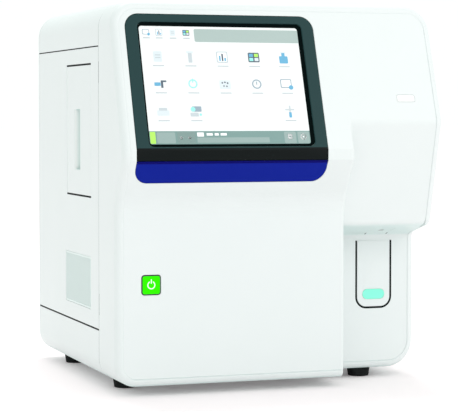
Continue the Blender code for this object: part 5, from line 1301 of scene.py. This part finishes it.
def pipette_guard():
    """Plate in the opening under the head, with a bore for the needle."""
    across, along_y, _ = box_spans("sample_needle")
    middle = Vector((sum(across) / 2, sum(along_y) / 2))
    slope = math.atan2(HEAD_ROOT_HEIGHT - HEAD_LIP[1], RECESS_PANEL - HEAD_LIP[0])
    outline = [point - middle for point in moved_in(pipette_outline(), FIT)]
    outline = [Vector((point.x, point.y / math.cos(slope))) for point in outline]
    height = under_height(middle.y, 0) + GUARD_INSET
    place = Matrix.Translation((*middle, height)) @ Matrix.Rotation(slope, 4, "X")
    plate = slab(outline, "Z", (0, GUARD_THICKNESS), (GUARD_INSET, GUARD_INSET), place)
    bore = rod(middle, GUARD_BORE, "Z", grown((height, height), OVERRUN))
    show("pipette_guard", carved(plate, [bore]), WHITE, "front_cover")


def underside_dark_bars():
    """Two dark bars let into the rear of the head's underside, over the paddle."""
    heights = [Vector((y, under_height(y, 0))) for y in steps_between(*DARK_BAR_REACH, DARK_BAR_STEP)]
    outline = [point - Vector((0, DARK_BAR_PROUD)) for point in heights]
    outline += [point + Vector((0, DARK_BAR_DEPTH)) for point in reversed(heights)]
    slots = [slab(outline, "X", centred(middle, DARK_BAR_WIDTH)) for middle in DARK_BAR_MIDDLES]
    show("underside_dark_bars", together(slots), SEAL, "front_cover")


def display():
    """Bezel, trim strip, screen with its mask, and the status window."""
    _, _, bezel_z = box_spans("display_bezel")
    _, _, trim_z = box_spans("trim_strip")
    window = hole_in_face(window_outline(0), WINDOW_EDGE)
    bezel = plate_on_front(display_outline(*bezel_z, 0, BEZEL_RADIUS - FIT), [window], BEZEL_EDGE)
    show("bezel_frame", bezel, DARK, "front_cover", ["display_bezel"])
    trim = plate_on_front(display_outline(*trim_z, TRIM_RADIUS - FIT, 0), [], TRIM_EDGE)
    show("trim_moulding", trim, BLUE, "front_cover", ["trim_strip"])
    panel_span = (-SCREEN_DEPTH - SCREEN_THICKNESS, -SCREEN_DEPTH)
    show("screen_panel", slab(window_outline(FIT), "Z", panel_span, matrix=FACE), LCD, "front_cover",
         ["display_screen"])
    lens = slab(status_outline(FIT), "Z", (-WALL, 0), (0, STATUS_EDGE), FACE)
    show("status_lens", lens, STATUS, "front_cover", ["status_window"])
    across, up = picture_spans()
    frame_top = -SCREEN_DEPTH + MASK_THICKNESS
    # The black mask paints the shade of the window's inner walls as well as the screen's border
    mask = slab(window_outline(FIT), "Z", (-SCREEN_DEPTH, frame_top), matrix=FACE)
    radii = (PICTURE_RADIUS, PICTURE_RADIUS, PICTURE_TOP_RADIUS, PICTURE_TOP_RADIUS)
    opening = slab(rounded(across, up, radii), "Z", (-SCREEN_DEPTH - OVERRUN, OVERRUN), matrix=FACE)
    show("screen_mask", carved(mask, [opening]), MASK, "front_cover")


def picture_spans():
    """Lit part of the screen on the tilted face."""
    across, _, _ = box_spans("display_screen")
    up = (WINDOW_RISE[0] + MASK_LOW, WINDOW_RISE[1] - MASK_HIGH)
    return (across[0] + MASK_LEFT, across[1] - MASK_RIGHT), up


def power_button():
    """Button with a black collar, a green lens and its symbol."""
    across, y, up = box_spans("power_button")
    middle = (sum(across) / 2, sum(up) / 2)
    head_rear = y[0] + BUTTON_DEPTH
    head_span = (y[0] + COLLAR_STEP, head_rear)
    head = slab(button_outline(BUTTON_GAP), "Y", head_span, (COLLAR_EDGE, COLLAR_EDGE))
    stem = rod(middle, BUTTON_STEM, "Y", (head_rear - FIT, y[1]), COLLAR_EDGE)
    show("button_collar", together([head, stem]), BLACK, "power_button", ["power_button"])
    lens_span = (y[0] + SYMBOL_PROUD, y[0] + COLLAR_STEP + FIT)
    lens = slab(button_outline(BUTTON_GAP + COLLAR_WIDTH), "Y", lens_span, (LENS_EDGE, 0))
    symbol_span = (y[0], y[0] + SYMBOL_DEPTH)
    ring = turned_ring(middle, SYMBOL_RADIUS, SYMBOL_STROKE, symbol_span)
    bar_z = middle[1] + SYMBOL_RADIUS - SYMBOL_STROKE / 2
    bar_up = centred(bar_z, SYMBOL_BAR)
    bar = slab(rounded(centred(middle[0], SYMBOL_STROKE), bar_up), "Y", symbol_span)
    gap = slab(rounded(centred(middle[0], SYMBOL_GAP), bar_up), "Y", grown(symbol_span, OVERRUN))
    show("button_lens", lens, GREEN, "power_button")
    show("button_symbol", together([carved(ring, [gap]), bar]), SYMBOL, "power_button")


def turned_ring(middle, radius, stroke, span):
    """Flat ring about a point of the front view."""
    outer = slab(circle(middle, radius), "Y", span)
    inner = slab(circle(middle, radius - stroke), "Y", grown(span, OVERRUN))
    return carved(outer, [inner])


def start_paddle():
    """Paddle's tongue with its lugs and the mark let into it."""
    _, _, up = box_spans("start_paddle")
    rod_x, rod_y, rod_z = box_spans("paddle_pivot_rod")
    wall = (RECESS_PANEL, RECESS_PANEL + WALL)
    plate = slab(paddle_outline(0, 0), "Y", wall, (PADDLE_EDGE, PADDLE_EDGE))
    mark_x, mark_y, mark_z = box_spans("start_mark")
    mark_x, mark_z = grown(mark_x, -MARK_INSET), grown(mark_z, -MARK_INSET)
    corners = [MARK_RADIUS] * 4
    pocket = slab(rounded(grown(mark_x, FIT), grown(mark_z, FIT), corners), "Y",
                  (RECESS_PANEL - OVERRUN, mark_y[1] + FIT))
    lug_y = (RECESS_PANEL + WALL / 2, RECESS_PANEL + WALL + LUG_DEPTH)
    lug_z = (sum(rod_z) / 2 - LUG_HEIGHT / 2, up[1] - FIT)
    lugs = [block(centred(middle, LUG_WIDTH), lug_y, lug_z)
            for middle in evenly(sum(rod_x) / 2, LUG_SPREAD, 2)]
    bore = rod((sum(rod_y) / 2, sum(rod_z) / 2), LUG_BORE, "X", grown(rod_x, OVERRUN))
    tongue = together([carved(plate, [pocket]), carved(together(lugs), [bore])])
    show("paddle_tongue", tongue, WHITE, "start_paddle", ["start_paddle"])
    mark = slab(rounded(mark_x, mark_z, corners), "Y", mark_y, (MARK_EDGE, 0))
    show("paddle_mark", mark, TEAL, "start_paddle", ["start_mark"])


def paddle_seal_and_shade():
    """Dark seal in the slit round the paddle, on the cover's side, whose black also paints the shade in
    the slit.
    """
    wall = (RECESS_PANEL, RECESS_PANEL + WALL)
    outer = slab(paddle_outline(PADDLE_SLIT - SEAL_GAP, 0), "Y", grown(wall, -SEAL_DEPTH))
    inner = slab(paddle_outline(PADDLE_CLEARANCE, OVERRUN), "Y", grown(wall, OVERRUN))
    show("paddle_seal_and_shade", carved(outer, [inner]), SEAL, "front_cover")


def shells():
    """Top cover and base tub, each a bent sheet along the casing's outline."""
    _, y, top_z = box_spans("top_cover")
    _, _, base_z = box_spans("base_tub")
    for name, z, seam, node in (("top_shell", top_z, top_z[0], "top_cover"),
                                ("base_shell", base_z, base_z[1], "base_tub")):
        outer = [point for point in casing_outline(0) if z[0] <= point.y <= z[1]]
        inner = [point for point in casing_outline(WALL) if z[0] <= point.y <= z[1]]
        outline = [Vector((outer[0].x, seam)), *outer, Vector((outer[-1].x, seam))]
        outline += [Vector((inner[-1].x, seam)), *reversed(inner), Vector((inner[0].x, seam))]
        span = (y[0] + JOINT_SETBACK, y[1])
        show(name, slab(outline, "Y", span, (SHELL_EDGE, SHELL_EDGE)), WHITE, "casing", [node])


def vent_slots():
    """Louvre slots of the right side vent, in Y and Z."""
    _, y, z = box_spans("left_vent_grille")
    y = grown(y, FIT - VENT_FRAME)
    z = grown(z, FIT - VENT_FRAME)
    count = int((z[1] - z[0] + LOUVRE_PITCH - LOUVRE_SLOT) / LOUVRE_PITCH)
    radius = LOUVRE_SLOT / 2 - SAME_POINT
    return [rounded(y, centred(place, LOUVRE_SLOT), [radius] * 4)
            for place in evenly(sum(z) / 2, LOUVRE_PITCH, count)]


def side_lips(x, z):
    """Lips that lap behind the top cover and the base tub, in the panel's own front view."""
    lips = []
    for seam, out in ((z[0], -1), (z[1], 1)):
        beyond = seam + out * LIP_LENGTH
        within = seam - out * LIP_LENGTH
        depth = (WALL + FIT, WALL + FIT + LIP_THICKNESS)
        outline = [(WALL, seam), (depth[0], seam), (depth[0], beyond),
                   (depth[1], beyond), (depth[1], within), (WALL, within)]
        outline = [Vector(point) for point in outline]
        lips.append(slab(outline if out < 0 else outline[::-1], "X", x))
    return lips


def side_panel_spans():
    """Depth and height of a side panel's outer face, without its lips."""
    _, y, z = box_spans("left_side_panel")
    return (y[0] + JOINT_SETBACK, y[1]), (z[0] + LIP_LENGTH + LOWER_SEAM_EXTRA, z[1] - LIP_LENGTH)


def side_panels():
    """Left panel with openings for the door and the vent, and right panel with louvre slots."""
    y, z = side_panel_spans()
    _, vent_y, vent_z = box_spans("left_vent_grille")
    _, door_y, door_z = box_spans("side_door")
    door = rounded(mirrored(grown(door_y, DOOR_EDGE_GAP)), grown(door_z, DOOR_GAP), [SLIT_RADIUS] * 4)
    vent = rounded(mirrored(grown(vent_y, FIT)), grown(vent_z, FIT), [SLIT_RADIUS] * 4)
    left = together([panel(rounded(mirrored(y), z), [door, vent], WALL, SHELL_EDGE, SHELL_EDGE),
                     *side_lips(mirrored(y), z)])
    left.transform(facing("left", RIGHT))
    show("left_panel", left, WHITE, "casing", ["left_side_panel"])
    right = together([panel(rounded(y, z), vent_slots(), WALL, SHELL_EDGE, SHELL_EDGE), *side_lips(y, z)])
    right.transform(facing("right", RIGHT))
    show("right_panel", right, WHITE, "casing", ["right_side_panel"])


def seam_strips():
    """Black gasket strips in the seams between the side panels, the top cover and the base tub, and in the
    door's top and bottom gaps, whose dark colour paints the shade in the gaps.
    """
    y, z = side_panel_spans()
    _, _, top_z = box_spans("top_cover")
    _, _, base_z = box_spans("base_tub")
    strips = []
    for side, across in (("left", mirrored(y)), ("right", y)):
        for gap in ((base_z[1], z[0]), (z[1], top_z[0])):
            strip = block(across, (GASKET_DEPTH, WALL), grown(gap, -GASKET_GAP), 0)
            strip.transform(facing(side, RIGHT))
            strips.append(strip)
    _, door_y, door_z = box_spans("side_door")
    for edge, within in ((door_z[0] - DOOR_GAP, 1), (door_z[1] + DOOR_GAP, -1)):
        gap = sorted((edge, edge + within * DOOR_STRIP))
        strip = block(mirrored(door_y), (GASKET_DEPTH, WALL), gap, 0)
        strip.transform(facing("left", RIGHT))
        strips.append(strip)
    show("seam_gaskets_and_shade", together(strips), RUBBER, "casing")


def cover_joint():
    """Thin grey seal in the gap between the front cover and the casing, whose colour paints the gap's
    shade line.
    """
    _, top_y, _ = box_spans("top_cover")
    span = (COVER_REAR + JOINT_GAP, top_y[0] + JOINT_SETBACK - JOINT_GAP)
    outer, inner = (casing_outline(inset) for inset in JOINT_SPAN)
    seal = carved(slab(outer, "Y", span), [slab(inner, "Y", grown(span, OVERRUN))])
    show("cover_joint_shade_seal", seal, JOINT, "casing")


def left_vent():
    """Fine upright fins in a frame, with a pale filter behind."""
    x, y, z = box_spans("left_vent_grille")
    across = mirrored(y)
    depth = x[1] - x[0]
    frame_hole = rounded(grown(across, -VENT_BORDER), grown(z, -VENT_BORDER), [SLIT_RADIUS] * 4)
    shapes = [panel(rounded(across, z), [frame_hole], depth, VENT_EDGE, VENT_EDGE)]
    count = int((across[1] - across[0] - 2 * VENT_BORDER) / FIN_PITCH)
    for place in evenly(sum(across) / 2, FIN_PITCH, count):
        shapes.append(block(centred(place, FIN_WIDTH), (FIN_SETBACK, depth - FILTER_THICKNESS),
                            grown(z, -VENT_BORDER + FIT), FIN_EDGE))
    grille = together(shapes)
    grille.transform(facing("left", -x[0]))
    show("vent_fins", grille, VENT, "casing", ["left_vent_grille"])
    overlap = VENT_BORDER / 2
    sheet = block(grown(across, -overlap), (depth - FILTER_THICKNESS, depth), grown(z, -overlap), 0)
    sheet.transform(facing("left", -x[0]))
    show("vent_filter", sheet, FILTER, "casing")


def side_door():
    """Door plate whose hinged edge is round, with the dish of its handle."""
    _, y, z = box_spans("side_door")
    _, pin_y, _ = box_spans("door_hinge_pin")
    axis_y = sum(pin_y) / 2
    x = (LEFT, LEFT + WALL)
    outline = rounded(x, y, (SLIT_RADIUS, SLIT_RADIUS, SLIT_RADIUS, WALL / 2 - SAME_POINT))
    plate = slab(outline, "Z", z, (SHELL_EDGE, SHELL_EDGE))
    front = y[0] + HANDLE_FRONT
    rear = front + HANDLE_WIDTH
    height = (z[0] + HANDLE_BASE, z[0] + HANDLE_BASE + HANDLE_HEIGHT)
    pocket = handle_wedge(front, rear, height, HANDLE_EDGE, HANDLE_DEPTH, 0)
    dish = handle_wedge(front, rear, height, WALL / 2, HANDLE_DEPTH + HANDLE_WALL, HANDLE_WALL)
    rim = handle_rim(front, rear, height)
    cuts = [pocket, rim, *hinge_cuts("door_hinge", "door_hinge_pin", axis_y)]
    door = carved(carved(plate, [dish], "UNION"), cuts)
    piece = show("door_panel", door, WHITE, "side_door", ["side_door"])
    # The handle's dish takes the recess finish, with its painted shade
    piece.data.materials.append(RECESS.material)
    for face in piece.data.polygons:
        within = front < face.center.y < rear and height[0] < face.center.z < height[1]
        if within and LEFT + HANDLE_EDGE < face.center.x < LEFT + HANDLE_DEPTH + SAME_POINT:
            face.material_index = 1


def handle_wedge(front, rear, height, start, depth, wall):
    """Wedge-shaped body of the handle's recess, deepest at the front."""
    foot = front + HANDLE_FLOOR
    slope = (rear - foot) / HANDLE_DEPTH
    outline = [(LEFT + start, front - wall), (LEFT + depth, front - wall), (LEFT + depth, foot + wall / 2),
               (LEFT + start, rear - slope * start + wall * 2)]
    radii = (0, HANDLE_FLOOR_RADIUS + wall, HANDLE_FLOOR_RADIUS + wall, 0)
    return slab(rounded_path(outline, radii), "Z", grown(height, wall), (HANDLE_END_EDGE, HANDLE_END_EDGE))


def handle_rim(front, rear, height):
    """Cutter that rounds the edge of the handle's recess."""
    outline = rounded((front, rear), height, [SLIT_RADIUS] * 4)
    turns = edge_turns(HANDLE_EDGE)
    rings = [(moved_in(outline, -turns[0][0]), LEFT - OVERRUN)]
    rings += [(moved_in(outline, -offset), LEFT + depth) for offset, depth in turns]
    return lofted([[(x, point.x, point.y) for point in ring] for ring, x in rings])


def hinges():
    """Fixed straps with their knuckles, which are square at the rear."""
    for node in ("cover_hinge_lower", "cover_hinge_upper", "door_hinge"):
        _, y, z = box_spans(node)
        axis = (LEFT + PIN_INSET, y[0] + PIN_INSET)
        leaf_left = LEFT + WALL + FIT
        leaf = (leaf_left, leaf_left + LEAF_THICKNESS)
        knuckle = rod(axis, PIN_INSET, "Z", z, KNUCKLE_EDGE)
        web = block((axis[0], leaf[1]), centred(axis[1], WALL), z, FIT)
        strap = block(leaf, y, z, FIT)
        bore = rod(axis, PIN_RADIUS + FIT, "Z", grown(z, OVERRUN))
        heel = block((LEFT + HEEL_INSET, LEFT + WALL), (axis[1], axis[1] + PIN_INSET), z, FIT)
        joined = carved(web, [strap, knuckle, heel], "UNION")
        show(node + "_strap", carved(joined, [bore]), HINGE, "casing", [node])


def feet():
    """Rubber feet, wider at the top, each on a stud."""
    for node in ("foot_front_left", "foot_front_right", "foot_rear_left", "foot_rear_right"):
        x, y, z = box_spans(node)
        middle = (sum(x) / 2, sum(y) / 2)
        top_radius = (x[1] - x[0]) / 2 + FOOT_SPREAD
        pad_top = UNDERSIDE - FIT
        profile = [(FOOT_BOTTOM_RADIUS - FOOT_EDGE * (1 - sine), FOOT_EDGE * (1 - cosine))
                   for sine, cosine in quarter(EDGE_STEPS)]
        profile += [(top_radius - SHELL_EDGE, pad_top - SHELL_EDGE), (top_radius - SHELL_EDGE, pad_top)]
        profile += [(FOOT_STUD_RADIUS, pad_top), (FOOT_STUD_RADIUS, z[1])]
        show(node + "_pad", turned(profile, "Z", middle), RUBBER, "casing", [node])


def rear_shell():
    """Rear pan with a rounded rim, slots over the fan and openings for the inlet and the ports."""
    _, y, _ = box_spans("rear_panel")
    depth = y[1] - y[0]
    fan_x, _, fan_z = box_spans("fan_frame")
    middle = (-sum(fan_x) / 2, sum(fan_z) / 2)
    holes = []
    for offset in evenly(0, GUARD_PITCH, GUARD_SLOTS):
        half = math.sqrt(FAN_BORE ** 2 - offset ** 2)
        radius = GUARD_SLOT / 2 - SAME_POINT
        up = centred(middle[1] + offset, GUARD_SLOT)
        holes.append(rounded(grown((middle[0], middle[0]), half), up, [radius] * 4))
    for node in ("mains_inlet", "port_bay"):
        x, _, z = box_spans(node)
        holes.append(rounded(mirrored(grown(x, FIT)), grown(z, FIT), [SLIT_RADIUS] * 4))
    holes += [circle((-x, z), SINK_RADIUS, SINK_SIDES) for x, z in rear_screw_places()]
    inner = casing_outline(REAR_RIM, True)
    outer = casing_outline(0, True)
    rim = [[(point.x, REAR_WALL, point.y) for point in inner],
           [(point.x, depth, point.y) for point in inner],
           [(point.x, depth, point.y) for point in outer]]
    for sine, cosine in quarter(RIM_STEPS):
        ring = zip(outer, inner)
        rim.append([(point.x + (centre.x - point.x) * (1 - cosine), REAR_RIM * (1 - sine),
                     point.y + (centre.y - point.y) * (1 - cosine)) for point, centre in ring])
    rings = [hole_along_y(hole, SHELL_EDGE, lambda x, z: 0, lambda x, z: REAR_WALL) for hole in holes]
    bm = shell_body(rim, rings, [], None, [], None)
    bm.transform(facing("rear", y[1]))
    show("rear_shell", bm, WHITE, "casing", ["rear_panel"])


def rear_screw_places():
    x, _, z = box_spans("rear_panel")
    return [(across, up) for across in (*grown(x, -REAR_SCREW_INSET), sum(x) / 2)
            for up in grown(z, -REAR_SCREW_INSET)]


def rear_screws():
    """Screws sunk in the rear panel, each on a washer that closes its hole."""
    _, y, _ = box_spans("rear_panel")
    heads = []
    seat = y[1] - SCREW_SINK - SCREW_HEIGHT
    for x, z in rear_screw_places():
        heads.append(screw(Vector((x, seat, z)), Vector((0, 1, 0))))
        heads.append(rod((x, z), SINK_RADIUS + FIT, "Y", (y[1] - REAR_WALL, seat)))
    show("rear_screws", together(heads), PIN, "casing")


def fan():
    """Fan housing with its spider, and the rotor with its blades."""
    x, y, z = box_spans("fan_frame")
    middle = (sum(x) / 2, sum(z) / 2)
    ring = slab(rounded(x, z, [FAN_CORNER] * 4), "Y", y, (SHELL_EDGE, SHELL_EDGE))
    bores = [rod(middle, FAN_BORE, "Y", grown(y, OVERRUN), sides=FINE_SIDES)]
    for across in evenly(middle[0], FAN_SCREW_SPACING, 2):
        for up in evenly(middle[1], FAN_SCREW_SPACING, 2):
            bores.append(rod((across, up), FAN_SCREW_RADIUS, "Y", grown(y, OVERRUN), sides=COARSE_SIDES))
    spider = (y[0], y[0] + SPIDER_DEPTH)
    shapes = [carved(ring, bores), rod(middle, HUB_RADIUS, "Y", spider, FIT)]
    for turn in (0, math.pi / 2):
        bar = block(centred(0, 2 * FAN_BORE + FIT), spider, centred(0, SPIDER_BAR))
        bar.transform(Matrix.Translation((middle[0], 0, middle[1])) @ Matrix.Rotation(turn, 4, "Y"))
        shapes.append(bar)
    show("fan_housing", together(shapes), BLACK, "casing", ["fan_frame"])
    _, rotor_y, _ = box_spans("fan_rotor")
    hub = (spider[1] + TIP_GAP / 2, rotor_y[1])
    shapes = [rod(middle, HUB_RADIUS, "Y", hub, HUB_EDGE)]
    shapes.append(rod(middle, SHAFT_RADIUS, "Y", (rotor_y[0], sum(hub) / 2)))
    for index in range(FAN_BLADES):
        blade = fan_blade()
        blade.transform(Matrix.Translation((middle[0], sum(hub) / 2, middle[1]))
                        @ Matrix.Rotation(2 * math.pi * index / FAN_BLADES, 4, "Y"))
        shapes.append(blade)
    show("fan_wheel", together(shapes), BLACK, "fan_rotor", ["fan_rotor"])


def fan_blade():
    """Curved blade along Z from the hub to the tip, with its chord about Y."""
    loops = []
    for index in range(BLADE_ROWS + 1):
        share = index / BLADE_ROWS
        radius = HUB_RADIUS - TIP_GAP + (FAN_BORE - HUB_RADIUS) * share
        tilt = BLADE_TILT + BLADE_TWIST * share
        chord = BLADE_CHORD * (1 + BLADE_FLARE_SHARE * share)
        loop = []
        for side, order in ((1, 1), (-1, -1)):
            stations = [station / BLADE_COLUMNS - 0.5 for station in range(BLADE_COLUMNS + 1)][::order]
            for station in stations:
                half_thickness = BLADE_THICKNESS / 2 * (1 - BLADE_TAPER * station ** 2)
                bulge = BLADE_CAMBER * (1 - 4 * station ** 2) + side * half_thickness
                along_chord = station * chord
                x = math.cos(tilt) * bulge - math.sin(tilt) * along_chord
                y = math.sin(tilt) * bulge + math.cos(tilt) * along_chord
                loop.append((x, y, radius))
        loops.append(loop)
    return lofted(loops)


def mains_inlet():
    """Inlet with its socket, three pins and the well of its rocker."""
    x, y, z = box_spans("mains_inlet")
    middle = sum(x) / 2
    body = slab(rounded(x, z, [SLIT_RADIUS] * 4), "Y", y, (SHELL_EDGE, SHELL_EDGE))
    socket_z = (z[0] + INLET_RISE, z[0] + INLET_RISE + SOCKET_TALL)
    floor = y[1] - SOCKET_DEPTH
    radii = (SOCKET_LOW_RADIUS, SOCKET_LOW_RADIUS, SOCKET_CORNER, SOCKET_CORNER)
    socket = slab(rounded(centred(middle, SOCKET_WIDTH), socket_z, radii), "Y", (floor, y[1] + OVERRUN))
    well_x = grown(centred(middle, ROCKER_WIDTH), ROCKER_GAP)
    well_z = grown(centred(z[1] + FIT - INLET_RISE - ROCKER_TALL / 2, ROCKER_TALL), ROCKER_GAP)
    well_y = (y[1] - ROCKER_DEPTH - ROCKER_TALL / 4, y[1] + OVERRUN)
    well = slab(rounded(well_x, well_z, [SLIT_RADIUS] * 4), "Y", well_y)
    show("inlet_body", carved(body, [socket, well]), BLACK, "casing", ["mains_inlet"])
    pins = []
    pin_y = (floor - FIT, floor + PIN_LENGTH)
    for offset in (-1, 0, 1):
        pin_x = centred(middle + offset * PIN_SPREAD, PIN_WIDTH)
        pin_z = sum(socket_z) / 2 + (PIN_TALL / 2 if offset == 0 else -PIN_TALL / 2)
        pins.append(block(pin_x, pin_y, centred(pin_z, PIN_TALL), FIT))
    show("inlet_pins", together(pins), PIN, "casing")


def port_bay():
    """Tray let into the rear with a row of hose barbs."""
    x, y, z = box_spans("port_bay")
    tray = slab(rounded(x, z, [SLIT_RADIUS] * 4), "Y", y, (SHELL_EDGE, SHELL_EDGE))
    floor = y[0] + BAY_WALL
    outline = rounded(grown(x, -BAY_WALL), grown(z, -BAY_WALL), [BAY_RADIUS] * 4)
    hollow = slab(outline, "Y", (floor, y[1] + OVERRUN))
    shapes = [carved(tray, [hollow])]
    tip = floor + PORT_LENGTH
    for place in evenly(sum(x) / 2, (x[1] - x[0]) / PORT_COUNT, PORT_COUNT):
        shapes.append(barb((place, sum(z) / 2), floor, tip))
    show("port_tray", together(shapes), VENT, "casing", ["port_bay"])


def barb(middle, floor, tip):
    """Hollow hose barb with a flange and three ridges."""
    profile = [(PORT_RADIUS, floor - FIT), (PORT_RADIUS, floor + PORT_FLANGE)]
    ridge = (tip - floor - PORT_FLANGE) / PORT_RIDGES
    for index in range(PORT_RIDGES):
        start = floor + PORT_FLANGE + ridge * index
        profile += [(PORT_NECK, start), (PORT_RADIUS, start + SAME_POINT), (PORT_NECK, start + ridge)]
    profile += [(PORT_BORE, tip), (PORT_BORE, floor + FIT)]
    return turned(profile, "Y", middle, ROUND_SIDES)


def picture_place(share_u, share_v):
    """Place on the picture by its shares from the lower left."""
    across, up = picture_spans()
    return (across[0] + (across[1] - across[0]) * share_u, up[0] + (up[1] - up[0]) * share_v)


def glyph(kind, centre, sizes, layer):
    """Thin inlay on the screen: a bar, a disc or a ring."""
    span = (-SCREEN_DEPTH, -SCREEN_DEPTH + INK_THICKNESS * (1 + layer * INK_LAYER_SHARE))
    if kind == "bar":
        radius = min(sizes) * BAR_CORNER_SHARE
        outline = rounded(centred(centre[0], sizes[0]), centred(centre[1], sizes[1]), [radius] * 4)
        return slab(outline, "Z", span, matrix=FACE)
    disc = slab(circle(centre, sizes[0], COARSE_SIDES), "Z", span, matrix=FACE)
    if kind == "disc":
        return disc
    hole = slab(circle(centre, sizes[0] - sizes[1], COARSE_SIDES), "Z", grown(span, OVERRUN), matrix=FACE)
    return carved(disc, [hole])


def screen_picture():
    """Generic menu on the screen: icons over faint label bars, and the bars at the top and bottom."""
    inks = {ink: [] for ink in INKS}
    for ink, low_u, low_v, high_u, high_v, layer in PANEL_SHARES:
        low = picture_place(low_u, low_v)
        high = picture_place(high_u, high_v)
        centre = ((low[0] + high[0]) / 2, (low[1] + high[1]) / 2)
        inks[ink].append(glyph("bar", centre, (high[0] - low[0], high[1] - low[1]), layer))
    for row, names in enumerate(ICON_ROWS):
        for column, name in enumerate(names):
            if not name:
                continue
            centre = picture_place(COLUMN_SHARES[column], ROW_SHARES[row])
            draw_icon(inks, name, centre, ICON_SIZE)
            label = (centre[0], centre[1] - LABEL_DROP)
            inks["label"].append(glyph("bar", label, (LABEL_WIDTH, LABEL_HEIGHT), 0))
    for index, name in enumerate(SMALL_ICONS):
        centre = picture_place(SMALL_SHARES[index], SMALL_ROW_SHARE)
        draw_icon(inks, name, centre, SMALL_ICON_SIZE)
        label = (centre[0], centre[1] - SMALL_LABEL_DROP)
        inks["label"].append(glyph("bar", label, (SMALL_LABEL_WIDTH, LABEL_HEIGHT), 0))
    for index, name in enumerate(BAR_ICONS):
        draw_icon(inks, name, picture_place(BAR_ICON_SHARES[index], BAR_ROW_SHARE), SMALL_ICON_SIZE)
    for ink, shapes in inks.items():
        show("screen_" + ink, together(shapes), INKS[ink], "front_cover")


def draw_icon(inks, name, centre, size):
    for layer, (ink, kind, u, v, *shares) in enumerate(ICON_SHARES[name]):
        place = (centre[0] + u * size, centre[1] + v * size)
        inks[ink].append(glyph(kind, place, [share * size for share in shares], layer + 1))


def screw(place, normal):
    """Pan-head screw with a cross, standing on a face."""
    head = rod((0, 0), SCREW_RADIUS, "Z", (-FIT, SCREW_HEIGHT), SCREW_EDGE)
    sides = (centred(0, CROSS_WIDTH), centred(0, CROSS_LENGTH))
    cross_z = (SCREW_HEIGHT - CROSS_DEPTH, SCREW_HEIGHT + OVERRUN)
    head = carved(head, [block(x, y, cross_z, 0) for x, y in (sides, sides[::-1])])
    head.transform(Matrix.Translation(place) @ normal.to_track_quat("Z", "Y").to_matrix().to_4x4())
    return head


def screws():
    """Screws at the corners of the modules that the open cover shows."""
    graph = bpy.context.evaluated_depsgraph_get()
    for node, body, side, inset in SCREW_PLACES:
        item = frame["nodes"][node]
        across, y, up = box_spans(node)
        start = y[0] - OVERRUN if side < 0 else y[1] + OVERRUN
        matrix = item.matrix_world.copy()
        inward = matrix.inverted()
        heads = []
        for x in grown(across, -inset):
            for z in grown(up, -inset):
                origin = inward @ Vector((x, start, z))
                ahead = inward.to_3x3() @ Vector((0, -side, 0))
                hit, place, normal, _ = item.ray_cast(origin, ahead, depsgraph=graph)
                if hit:
                    heads.append(screw(matrix @ place, matrix.to_3x3() @ normal))
        show(node + "_screws", together(heads), PIN, body)


def dress_nodes():
    """Give every carried-over node the finish of its slot and finely rounded edges."""
    for part in frame["record"]["subparts"]:
        item = frame["nodes"][part["node"]]
        finish = SLOT_FINISH[part["material_slot"]]
        item.data.materials.clear()
        item.data.materials.append(finish.material)
        item.data.shade_smooth()
        item.data.set_sharp_from_angle(angle=SMOOTH_ANGLE)
        if not item.hide_render:
            edge = item.modifiers.new("edge", "BEVEL")
            edge.width = NODE_EDGE
            edge.segments = EDGE_STEPS
            edge.limit_method = "ANGLE"
            edge.angle_limit = SMOOTH_ANGLE
            edge.harden_normals = True


def add_camera():
    data = bpy.data.cameras.new("photo_camera")
    data.lens = CAMERA_LENS
    data.sensor_width = CAMERA_SENSOR
    data.shift_y = CAMERA_SHIFT
    camera = bpy.data.objects.new("photo_camera", data)
    camera.location = CAMERA_PLACE
    camera.rotation_euler = (math.pi / 2 - CAMERA_DROP, 0, -CAMERA_TURN)
    bpy.context.scene.collection.objects.link(camera)
    bpy.context.scene.camera = camera


def add_light(name, place, size, power, colour):
    data = bpy.data.lights.new(name, "AREA")
    data.shape = "RECTANGLE"
    data.size, data.size_y = size
    data.energy = power
    data.color = colour
    lamp = bpy.data.objects.new(name, data)
    lamp.location = place
    lamp.rotation_euler = (Vector(place) - Vector(LIGHT_TARGET)).to_track_quat("Z", "Y").to_euler()
    bpy.context.scene.collection.objects.link(lamp)
    return lamp


def add_studio():
    """Pale world, lights and floor; the key light leaves the floor out."""
    world = bpy.data.worlds.new("studio")
    world.use_nodes = True
    background = world.node_tree.nodes["Background"]
    background.inputs["Color"].default_value = WORLD_COLOUR
    background.inputs["Strength"].default_value = WORLD_STRENGTH
    bpy.context.scene.world = world
    bpy.context.scene.view_settings.view_transform = "Standard"
    lamps = [add_light(*light) for light in LIGHTS]
    bm = bmesh.new()
    bmesh.ops.create_grid(bm, x_segments=FLOOR_SEGMENTS, y_segments=FLOOR_SEGMENTS, size=FLOOR_REACH)
    floor = bpy.data.objects.new("floor", mesh_of(bm))
    bpy.context.scene.collection.objects.link(floor)
    floor.data.materials.append(FLOOR.material)
    spared = bpy.data.collections.new("spared")
    spared.objects.link(floor)
    lamps[0].light_linking.receiver_collection = spared
    spared.collection_objects[0].light_linking.link_state = "EXCLUDE"


cover_shell()
cover_lugs()
pipette_guard()
underside_dark_bars()
display()
screen_picture()
power_button()
start_paddle()
paddle_seal_and_shade()
shells()
side_panels()
seam_strips()
cover_joint()
left_vent()
side_door()
hinges()
feet()
rear_shell()
fan()
mains_inlet()
port_bay()
screws()
rear_screws()
dress_nodes()
add_camera()
add_studio()
